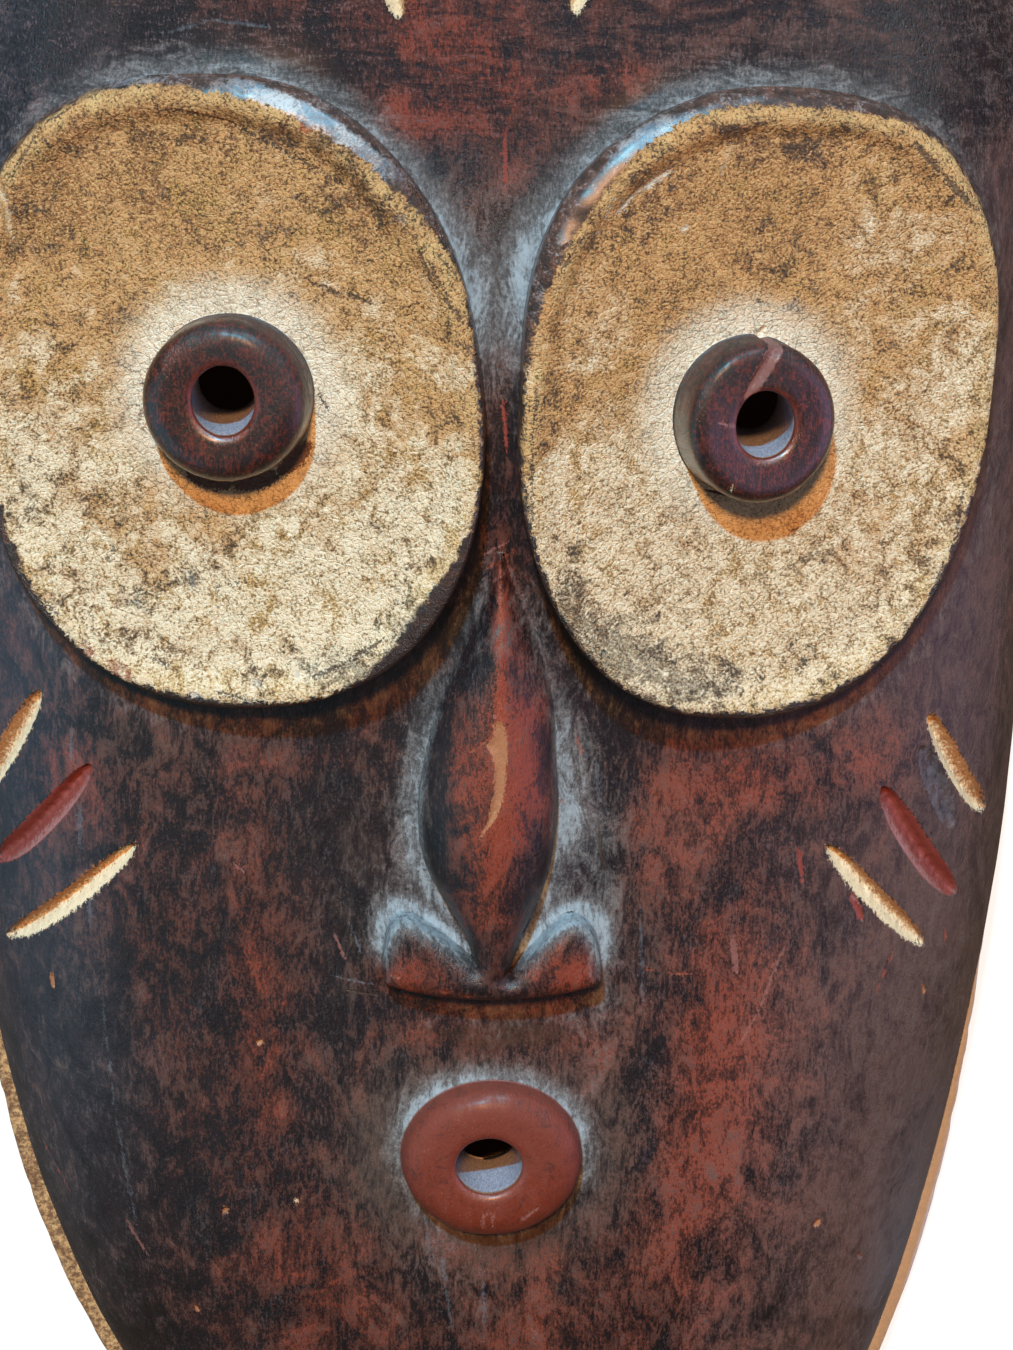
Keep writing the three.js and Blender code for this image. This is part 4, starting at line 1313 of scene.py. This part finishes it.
class Finish:
    """One material, built up by short calls."""

    def __init__(self, name):
        self.material = bpy.data.materials.new(name)
        self.material.use_nodes = True
        tree = self.material.node_tree
        self.nodes, self.links = tree.nodes, tree.links
        self.shader = tree.nodes["Principled BSDF"]
        self.place = self.node("ShaderNodeTexCoord", {}).outputs["Object"]

    def node(self, kind, inputs, **settings):
        node = self.nodes.new(kind)
        for name, value in settings.items():
            setattr(node, name, value)
        for name, value in inputs.items():
            self.plug(value, node.inputs[name])
        return node

    def plug(self, value, socket):
        if isinstance(value, (Amount, Coat)):
            value = value.socket
        if isinstance(value, bpy.types.NodeSocket):
            self.links.new(value, socket)
        else:
            socket.default_value = value

    def look(self, name, value):
        self.plug(value, self.shader.inputs[name])

    def field(self, name):
        return Amount(self, self.node("ShaderNodeAttribute", {}, attribute_name=name).outputs["Fac"])

    def work(self, operation, a, b):
        node = self.node("ShaderNodeMath", {0: a, 1: b}, operation=operation)
        return Amount(self, node.outputs[0])

    def pattern(self, kind, output, size, seed, inputs, **settings):
        """A texture with lumps of the given size in millimetres, one for all axes or one for each."""
        scale = (1 / (MM * np.broadcast_to(size, 3))).tolist()
        move = [seed * step for step in SEED_STEPS]
        spread = self.node("ShaderNodeMapping", {"Scale": scale, "Location": move, "Vector": self.place})
        node = self.node(kind, {"Vector": spread.outputs["Vector"], "Scale": 1.0, **inputs}, **settings)
        return node.outputs[output]

    def mottle(self, size, seed, detail=3.0, roughness=0.6, distortion=0.0):
        """Noise about 0."""
        inputs = {"Detail": detail, "Roughness": roughness, "Distortion": distortion}
        return self.work("SUBTRACT", self.pattern("ShaderNodeTexNoise", "Fac", size, seed, inputs), 0.5)

    def crackle(self, size, seed):
        """The way to the nearest crack of a cracked surface, as a share of its cells' size."""
        kind = "ShaderNodeTexVoronoi"
        cracks = self.pattern(kind, "Distance", size, seed, {}, feature="DISTANCE_TO_EDGE")
        return Amount(self, cracks)

    def along(self, axis, start, end):
        """0 up to one place along an axis in millimetres, 1 past another."""
        split = self.node("ShaderNodeSeparateXYZ", {"Vector": self.place})
        return Amount(self, split.outputs[axis]).rise(start * MM, end * MM)

    def height(self, start, end):
        return self.along("Y", start, end)

    def side(self, start, end):
        return self.along("X", start, end)

    def varnish(self, share, roughness):
        """A thin clear polish over the finish."""
        self.look("Coat Weight", share)
        self.look("Coat Roughness", roughness)

    def bump(self, height, distance, strength):
        inputs = {"Height": height, "Distance": distance * MM, "Strength": strength}
        self.look("Normal", self.node("ShaderNodeBump", inputs).outputs["Normal"])


MARK_COLOURS = dict(
    cream=(232, 218, 186), red=(138, 64, 56), brown=(92, 44, 20), bare=(168, 118, 84),
    pink=(146, 100, 96), dark=(60, 46, 36), blue=(108, 118, 132), orange=(162, 80, 54),
    chalk=(222, 220, 210),
)
BROKEN_MARKS = ("blue", "orange", "chalk")


def painted_marks(finish, colour, names, ragged):
    """Lays the marks' colours over a finish, broken up and with ragged edges."""
    broken = finish.mottle((1.6, 2.6, 2.0), 41, 4.0, 0.75).rise(-0.16, 0.12)
    for name, strength in names.items():
        share = (finish.field(name) + ragged).rise(-0.06, 0.16)
        if name in BROKEN_MARKS:
            share = share * broken
        colour.lay(share * strength, *MARK_COLOURS[name])


def gouge_paint(finish, colour, ragged):
    """The cream of the gouges, darker tan on their upper walls as painted shade, and the red of the others,
    paler pink on their lower walls as painted highlight.
    """
    upward = finish.field("upward") + ragged * 1.3
    # The red gouges' lower walls are paler: painted highlight.
    painted_light = upward.rise(-0.2, -0.8) * finish.field("red").rise(0.0, 0.3)
    colour.lay(painted_light * 0.85, 158, 118, 120)
    paint = Coat(finish, *MARK_COLOURS["cream"])
    # The cream gouges' upper walls are darker tan: painted shade.
    paint.lay(upward.rise(-0.05, 0.7), 172, 118, 70)
    paint.lay(ragged.rise(0.1, 0.4) * 0.5, 120, 88, 58)
    colour.lay((finish.field("cream") + ragged * 1.6).rise(-0.05, 0.3), paint)


def handled_wood():
    """Dark handled patina, rubbed through to red ochre, with fine grey dirt in the corners, painted sheen
    and highlights on the sides and top edges, and painted shade and shadow below the discs, nose, wings and
    lips.
    """
    finish = Finish("handled_patina")
    patch = finish.mottle((13, 18, 16), 1, 7.0, 0.66, 0.9)
    brow = finish.height(104, 124)
    strokes = finish.mottle((10, 2.6, 5), 9, 6.0, 0.75, 1.0)
    streak = brow.blend(finish.mottle((3.4, 8, 5), 2, 6.0, 0.72, 1.2), strokes)
    fibre = finish.mottle((0.5, 2.6, 1.2), 3, 4.0, 0.7, 0.6)
    fine = finish.mottle((0.45, 0.75, 0.55), 4, 3.0, 0.75)
    rubbed = finish.field("rubbed") + patch * 1.9 + streak * 1.7 + fibre * 1.1 + fine * 1.3
    colour = Coat(finish, 19, 17, 22)
    colour.lay(patch.rise(-0.2, 0.2), 42, 31, 34)
    colour.lay(rubbed.rise(-0.05, 0.3), 78, 42, 35)
    colour.lay(rubbed.rise(0.3, 0.56), 132, 58, 40)
    colour.lay(rubbed.rise(0.72, 1.1) * 0.85, 174, 84, 52)
    dark = (streak + fibre * 0.9 + fine * 0.5).rise(0.06, 0.24)
    colour.lay(dark * 0.8, 24, 20, 24)
    haze = finish.mottle((8, 16, 12), 6, 6.0, 0.7, 0.8) + fibre * 0.8 + fine * 0.9
    haze = haze.rise(0.02, 0.42) * brow.blend(1.0, 0.4)
    off_red = rubbed.rise(0.25, 0.6).blend(1.0, 0.4)
    colour.lay(haze * off_red * 0.42, 88, 86, 94)
    # A pale grey-pink painted sheen over the right side, stronger low down.
    painted_sheen = finish.side(0, 100) + patch * 1.3 + streak * 1.5 + fibre * 0.9
    painted_sheen = (painted_sheen + fine * 0.5).rise(0.1, 1.1)
    painted_sheen = painted_sheen * finish.height(0, -110).blend(0.45, 1.0)
    painted_sheen = painted_sheen * brow.blend(1.0, 0.1)
    colour.lay(painted_sheen * 0.36, 154, 122, 120)
    # A faint blue-grey towards the left edge: painted sheen, with some blue dust.
    cool_dust_and_sheen = finish.side(-50, -106) + patch * 0.9 + streak * 0.6
    cool_dust_and_sheen = cool_dust_and_sheen.rise(0.1, 1.1) * brow.blend(0.16, 0.15)
    colour.lay(cool_dust_and_sheen, 110, 134, 162)
    # A blue-grey painted sheen low on the right side.
    low_right = finish.side(62, 98) + patch * 0.8 + streak * 0.5
    low_right = low_right.rise(0.2, 1.0) * finish.height(-50, -130)
    colour.lay(low_right * 0.62, 116, 142, 178)
    fleck = fine + strokes * 0.7 + fibre * 0.3
    colour.lay(fleck.rise(0.05, 0.2) * (brow * 0.5), 128, 108, 118)
    colour.lay(fleck.rise(-0.04, -0.2) * (brow * 0.6), 20, 14, 18)
    veil = finish.field("veil") + patch * 1.5 + streak * 2.2 + fibre * 1.2
    veil = veil.rise(0.1, 1.05) * off_red.blend(0.3, 0.6)
    colour.lay(veil, 98, 84, 78)
    # Brown painted shadow below the nose, the lips and the discs' lower edges.
    painted_shadow = finish.field("sooty") + patch * 0.8 + streak * 0.6 + fibre * 0.6
    colour.lay(painted_shadow.rise(0.3, 0.8) * 0.6, 64, 45, 33)
    # The lips are a smoother red-brown.
    lips = finish.field("lips").rise(-0.3, 0.2)
    smudge = finish.mottle(3, 7, 6.0, 0.72, 0.5)
    worn = Coat(finish, 80, 30, 19)
    worn.lay((smudge + fine * 0.5).rise(-0.22, 0.0), 116, 45, 26)
    worn.lay((smudge + fine).rise(0.16, 0.34) * 0.5, 174, 104, 80)
    smudged = smudge * -1.0 + streak * 0.3
    worn.lay(smudged.rise(0.12, 0.26) * 0.7, 62, 34, 30)
    colour.lay(lips * 0.96, worn)
    pupil = finish.field("pupil").rise(-0.2, 0.2)
    red = (smudge + fine * 1.3 + fibre * 0.9).rise(-0.1, 0.3)
    knob = Coat(finish, 25, 17, 18)
    knob.lay(red, 98, 38, 28)
    colour.lay(pupil * 0.96, knob)
    ring = (finish.field("hole") + smudge * 4.0).rise(1.2, 0.2)
    colour.lay(ring * lips.or_more(pupil) * 0.7, 124, 50, 34)
    grit = finish.mottle((0.7, 0.9, 0.8), 5, 4.0, 0.8)
    # Grey dust in the corners, with a blue-white painted highlight where the field runs highest, and grey
    # painted shade below the discs and the wings.
    dust = finish.field("dust") + streak * 1.5 + patch * 0.7 + fibre * 0.6 + grit * 0.4
    dust_sheen_and_shade_share = dust.rise(0.2, 1.15) * 0.86
    off_lips = 1.0 - lips.or_more(pupil)
    dust_sheen_and_shade_tone = Coat(finish, 80, 82, 86)
    dust_sheen_and_shade_tone.lay((grit + streak * 0.6 + fine * 0.5).rise(-0.16, 0.2), 132, 137, 142)
    dust_sheen_and_shade_tone.lay(dust.rise(0.85, 1.4) * 0.8, 168, 190, 206)
    colour.lay(dust_sheen_and_shade_share * off_lips, dust_sheen_and_shade_tone)
    # The rim's lip is painted, and its outside is bare and grey.
    cracks = finish.mottle(1.2, 8, 5.0, 0.75)
    lip_paint = (finish.field("rim") + cracks * 2.2).rise(-0.35, 0.1)
    lip_colour = Coat(finish, 112, 82, 58)
    lip_colour.lay(cracks.rise(-0.1, 0.16), 206, 170, 122)
    # Low on the right the lip's paint turns blue-white, as painted light where the blue key light is shaded
    # off.
    painted_light = finish.side(20, 60) * finish.height(10, -40) * 0.8
    lip_colour.lay(painted_light, 206, 222, 255)
    outside = finish.field("rim").rise(2.2, 3.0)
    lip_colour.lay(outside, 84, 66, 54)
    colour.lay(lip_paint, lip_colour)
    ragged = fine * 1.4 + grit * 1.2 + fibre * 0.9
    strengths = dict(red=0.9, pink=0.62, orange=0.7, blue=0.45, dark=0.75, bare=0.88)
    painted_marks(finish, colour, strengths, ragged)
    gouge_paint(finish, colour, ragged)
    finish.look("Base Color", colour)
    cream = finish.field("cream").rise(-0.05, 0.2)
    matt = dust_sheen_and_shade_share.or_more(cream).or_more(lip_paint)
    gloss = (streak + fibre + fine).rise(-0.2, 0.25).blend(0.3, brow.blend(0.5, 0.9))
    gloss = lips.or_more(pupil).blend(gloss, 0.26)
    finish.look("Roughness", matt.blend(gloss, 0.85))
    finish.look("Specular IOR Level", brow.blend(0.5, 0.3))
    relief = fibre * 0.8 + fine + streak * 0.6
    finish.bump(relief * brow.blend(1.0, 5.0), 0.45, 0.45)
    polished = pupil * 0.85 + 0.06 + lips * 0.9
    finish.varnish(polished * (1.0 - matt), 0.3)
    return finish.material


def eye_paint():
    """Thick cream paint on the discs, darker and more ochre towards the top, partly as painted shade, worn
    to bare wood along parts of the edge, with painted highlights on the bare wood above and painted shade
    on it below.
    """
    finish = Finish("eye_paint")
    blotch = finish.mottle(12, 11, 7.0, 0.64, 0.8)
    cloud = finish.mottle(3.2, 12, 6.0, 0.72, 0.6)
    grain = finish.mottle(0.5, 13, 3.0, 0.75)
    stain = finish.mottle((6, 9, 9), 16, 6.0, 0.7, 0.8)
    paint = finish.field("paint")
    cells = finish.crackle(1.5, 17)
    halo = finish.field("pupil") + cloud * 9.0 + grain * 3.0
    halo = halo.rise(-9.5, -2.0)
    drift = finish.mottle(30, 18, 3.0, 0.5)
    above = finish.height(8, 146) + blotch * 1.8 + cloud * 0.9 + drift * 1.2
    colour = Coat(finish, 244, 231, 198)
    # Darker and more ochre towards the top: partly the paint's own tone, partly painted shade.
    colour.lay(above.rise(0.05, 0.6), 206, 162, 106)
    colour.lay(above.rise(0.6, 1.1) * 0.85, 160, 112, 60)
    yellow = (stain + cloud * 0.9 + grain * 0.3).rise(-0.02, 0.22)
    colour.lay(yellow * 0.88, 204, 166, 92)
    colour.lay(finish.side(-5, 5) * 0.28, 206, 150, 84)
    grime = (blotch + cloud * 1.4 + stain * -0.8).rise(0.12, 0.4)
    colour.lay(grime * 0.75, 108, 104, 96)
    colour.lay(halo * 0.85, 246, 238, 216)
    lip = paint.rise(4.6, 1.8) * (paint + cloud * 5.0).rise(-1.0, 1.2)
    lip = lip * stain.rise(-0.16, 0.14)
    colour.lay(lip * 0.7, 234, 206, 146)
    # A dark band a few millimetres in from the paint's edge, inside the lip: painted shade.
    crease = cloud * 1.2 + grain * 0.6 + blotch * 0.9
    crease = crease.rise(0.02, 0.24) * (paint.rise(2.2, 3.6) * paint.rise(12.0, 5.0))
    colour.lay(crease * 0.78, 84, 62, 38)
    pits = (grain + cloud * 0.45).rise(0.03, 0.1)
    pitted = Coat(finish, 134, 106, 66)
    pitted.lay(above.rise(0.1, 0.6), 80, 52, 26)
    colour.lay(pits * halo.blend(0.85, 0.4), pitted)
    sooty = finish.field("sooty") + cloud * 2.4 + blotch * 1.0 + grain * 0.9
    sooty = sooty.rise(0.3, 0.8)
    soot = Coat(finish, 104, 100, 88)
    soot.lay(above.rise(0.1, 0.7), 104, 66, 34)
    colour.lay(sooty * 0.66, soot)
    black = grain + cloud * 0.7 + blotch * 0.5 + sooty * 0.12
    black = black.rise(0.17, 0.26)
    colour.lay(black * halo.blend(0.8, 0.45), 66, 52, 36)
    lights = (grain + cloud * 0.35).rise(-0.02, -0.09)
    bright = Coat(finish, 255, 248, 228)
    bright.lay(above.rise(0.1, 0.6), 226, 186, 130)
    bright.lay(halo, 255, 250, 236)
    lights = lights * sooty.blend(0.82, 0.4)
    colour.lay(lights, bright)
    cracked = cells.rise(0.07, 0.015) * (cloud + blotch * 0.6).rise(-0.12, 0.12)
    colour.lay(cracked * 0.4, 84, 62, 42)
    ragged = grain * 3.2
    strengths = dict(dark=0.75, brown=0.85, blue=0.5, orange=0.8, chalk=0.9, cream=0.8, red=0.7)
    painted_marks(finish, colour, strengths, ragged)
    wood = finish.mottle(2.2, 15, 6.0, 0.72, 0.6)
    bare = Coat(finish, 50, 38, 34)
    bare.lay(wood.rise(-0.12, 0.16), 112, 74, 60)
    # Blue-grey painted highlight on the bare wood's upper parts.
    painted_glint = (wood + grain + blotch * 0.8).rise(0.04, 0.24) * 0.8
    bare.lay(painted_glint * above.rise(0.2, 0.7), 150, 156, 164)
    # The bare wood darkens low on the discs: painted shade under their lower edges.
    bare.lay(finish.height(60, 30) * 0.8, 40, 28, 20)
    # Blue-white painted highlight on the bare edge where it faces the light.
    gleam = finish.field("gleam") + wood * 2.4 + grain * 1.4
    gleam = gleam * (paint + wood * 2.0).rise(-3.6, -2.0)
    painted_highlight_tone = Coat(finish, 122, 168, 200)
    painted_highlight_tone.lay(stain.rise(-0.06, 0.06), 206, 216, 226)
    broken = (wood + grain * 1.2 + cloud * 0.6).rise(0.16, -0.06)
    gleam = gleam.rise(0.35, 1.1) * broken.blend(0.2, 0.85)
    bare.lay(gleam, painted_highlight_tone)
    edge = paint + wood * 4.2 + grain * 2.0 + cloud * 2.4
    painted = edge.rise(-0.16, 0.25)
    bare.lay(painted, colour)
    finish.look("Base Color", bare)
    finish.look("Roughness", painted.blend(0.24, 0.6))
    relief = grain * -1.2 + cloud * 0.9
    finish.bump(relief + cells.rise(0.0, 0.12) * 0.25, 0.75, 0.75)
    finish.varnish(0.6 - painted * 0.6, 0.32)
    return finish.material


def raw_wood():
    """Plain adzed wood inside the hollow, dark with handling, and pale in the bores."""
    finish = Finish("raw_wood")
    grain = finish.mottle((1.2, 14, 5), 21, 5.0, 0.65, 0.3)
    patch = finish.mottle((25, 40, 25), 22, 3.0, 0.5)
    fine = finish.mottle((0.3, 2.4, 1.0), 23, 2.0)
    tone = grain + patch * 0.8 + fine * 0.5
    colour = Coat(finish, 104, 72, 50)
    colour.lay(tone.rise(-0.3, 0.3), 158, 118, 82)
    bore = finish.field("bore").rise(-0.5, 0.6)
    pale = Coat(finish, 138, 136, 152)
    pale.lay(fine.rise(-0.2, 0.2), 176, 174, 190)
    colour.lay(bore, pale)
    finish.look("Base Color", colour)
    finish.look("Roughness", 0.8)
    finish.bump(grain + fine, 0.3, 0.5)
    return finish.material


# The piece


def put(name, data):
    """A new object in the scene."""
    thing = bpy.data.objects.new(name, data)
    bpy.context.scene.collection.objects.link(thing)
    return thing


def make_mask():
    place, faces, fields = mask_mesh()
    mesh = bpy.data.meshes.new("mask_carving")
    mesh.vertices.add(len(place))
    mesh.vertices.foreach_set("co", (place * MM).astype(np.float32).ravel())
    mesh.loops.add(faces.size)
    mesh.loops.foreach_set("vertex_index", faces.astype(np.int32).ravel())
    mesh.polygons.add(len(faces))
    mesh.polygons.foreach_set("loop_start", np.arange(0, faces.size, 3, dtype=np.int32))
    mesh.polygons.foreach_set("use_smooth", np.ones(len(faces), bool))
    eye = (fields["disc"][faces].mean(axis=1) > 0) & (fields["pupil"][faces].mean(axis=1) < 0)
    raw = (fields["back"][faces].min(axis=1) > 0.5) | (fields["bore"][faces].max(axis=1) > -0.9)
    mesh.polygons.foreach_set("material_index", np.where(raw, 2, np.where(eye, 1, 0)).astype(np.int32))
    for finish in (handled_wood(), eye_paint(), raw_wood()):
        mesh.materials.append(finish)
    for name, values in fields.items():
        layer = mesh.attributes.new(name, "FLOAT", "POINT")
        layer.data.foreach_set("value", values.astype(np.float32))
    mesh.update(calc_edges=True)
    mask = put("mask_carving", mesh)
    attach(mask, "root")
    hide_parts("mask")


# Camera, light and floor

FLOOR_TURNS = 96
FLOOR_INSET = 8.0
FLOOR_REACH = 9.0
CAMERA_AT = (-0.02184, 0.16494, 0.6024)
CAMERA_AIM = (0.00175, 0.020, 0.062)
CAMERA_FOV = 25.0
CAMERA_ROLL = 1.0


def add_camera():
    data = bpy.data.cameras.new("camera")
    data.sensor_fit = "VERTICAL"
    data.angle = math.radians(CAMERA_FOV)
    camera = put("camera", data)
    ahead = (Vector(CAMERA_AIM) - Vector(CAMERA_AT)).normalized()
    right = ahead.cross(Vector((0, 1, 0))).normalized()
    up = right.cross(ahead)
    c, s = math.cos(math.radians(CAMERA_ROLL)), math.sin(math.radians(CAMERA_ROLL))
    right, up = c * right + s * up, -s * right + c * up
    turn = Matrix((right, up, -ahead)).transposed()
    camera.matrix_world = Matrix.Translation(CAMERA_AT) @ turn.to_4x4()
    bpy.context.scene.camera = camera


def add_sun(name, direction, strength, colour, softness):
    data = bpy.data.lights.new(name, "SUN")
    data.energy, data.color, data.angle = strength, colour, math.radians(softness)
    put(name, data).rotation_euler = Vector(direction).to_track_quat("Z", "Y").to_euler()


def add_panel(name, place, aim, width, height, power, colour):
    """A large soft lamp that faces the mask and shows only in its gloss."""
    data = bpy.data.lights.new(name, "AREA")
    data.shape, data.size, data.size_y = "RECTANGLE", width, height
    data.energy, data.color = power, colour
    light = put(name, data)
    light.location = place
    light.rotation_euler = (Vector(place) - Vector(aim)).to_track_quat("Z", "Y").to_euler()
    light.visible_diffuse = False


def add_floor():
    """A white floor, lit from below as in a product photo, with a plain patch hidden under the mask."""
    turns = np.linspace(-math.pi, math.pi, FLOOR_TURNS, endpoint=False)
    reach = rim_reach(turns) - FLOOR_INSET
    inner = np.stack([reach * np.cos(turns), WIDEST_Y + reach * np.sin(turns), 0 * turns], axis=1) * MM
    outer = FLOOR_REACH * np.stack([np.cos(turns), np.sin(turns), 0 * turns], axis=1)
    after = (np.arange(FLOOR_TURNS) + 1) % FLOOR_TURNS
    ring = [(i, i + FLOOR_TURNS, j + FLOOR_TURNS, j) for i, j in enumerate(after)]
    mesh = bpy.data.meshes.new("floor")
    mesh.from_pydata(np.vstack([inner, outer]).tolist(), [], [list(range(FLOOR_TURNS))] + ring)
    floor = put("floor", mesh)
    for name, grey, glow in (("floor_under_mask", 0.5, 0.0), ("bright_floor", 0.25, 0.8)):
        material = bpy.data.materials.new(name)
        material.use_nodes = True
        shader = material.node_tree.nodes["Principled BSDF"]
        shader.inputs["Base Color"].default_value = (grey, grey, grey, 1)
        shader.inputs["Roughness"].default_value = 0.9
        shader.inputs["Emission Color"].default_value = (1, 1, 1, 1)
        shader.inputs["Emission Strength"].default_value = glow
        mesh.materials.append(material)
    for face in mesh.polygons[1:]:
        face.material_index = 1
    floor.visible_glossy = False


def add_world():
    world = bpy.data.worlds.new("studio")
    bpy.context.scene.world = world
    world.use_nodes = True
    background = world.node_tree.nodes["Background"]
    background.inputs["Color"].default_value = (1.0, 0.72, 0.46, 1)
    background.inputs["Strength"].default_value = 0.1


make_mask()
add_camera()
add_sun("key", (-0.22, 0.95, 1.0), 3.75, (0.22, 0.74, 1.0), 2.5)
add_sun("warm", (-0.1, 0.55, 1.0), 3.0, (1.0, 0.44, 0.13), 7.0)
add_panel("sky", (0.12, 0.8, 0.5), (0, 0.08, 0.06), 0.35, 0.25, 5.0, (0.5, 0.8, 1.0))
add_panel("cool_side", (-0.55, -0.15, 0.35), (0, 0, 0.03), 0.5, 0.6, 0.9, (0.3, 0.75, 1.0))
add_panel("dusky_side", (0.6, 0.0, 0.35), (0, 0, 0.03), 0.5, 0.7, 1.6, (0.8, 0.6, 1.0))
add_world()
add_floor()
bpy.context.scene.view_settings.view_transform = "Standard"
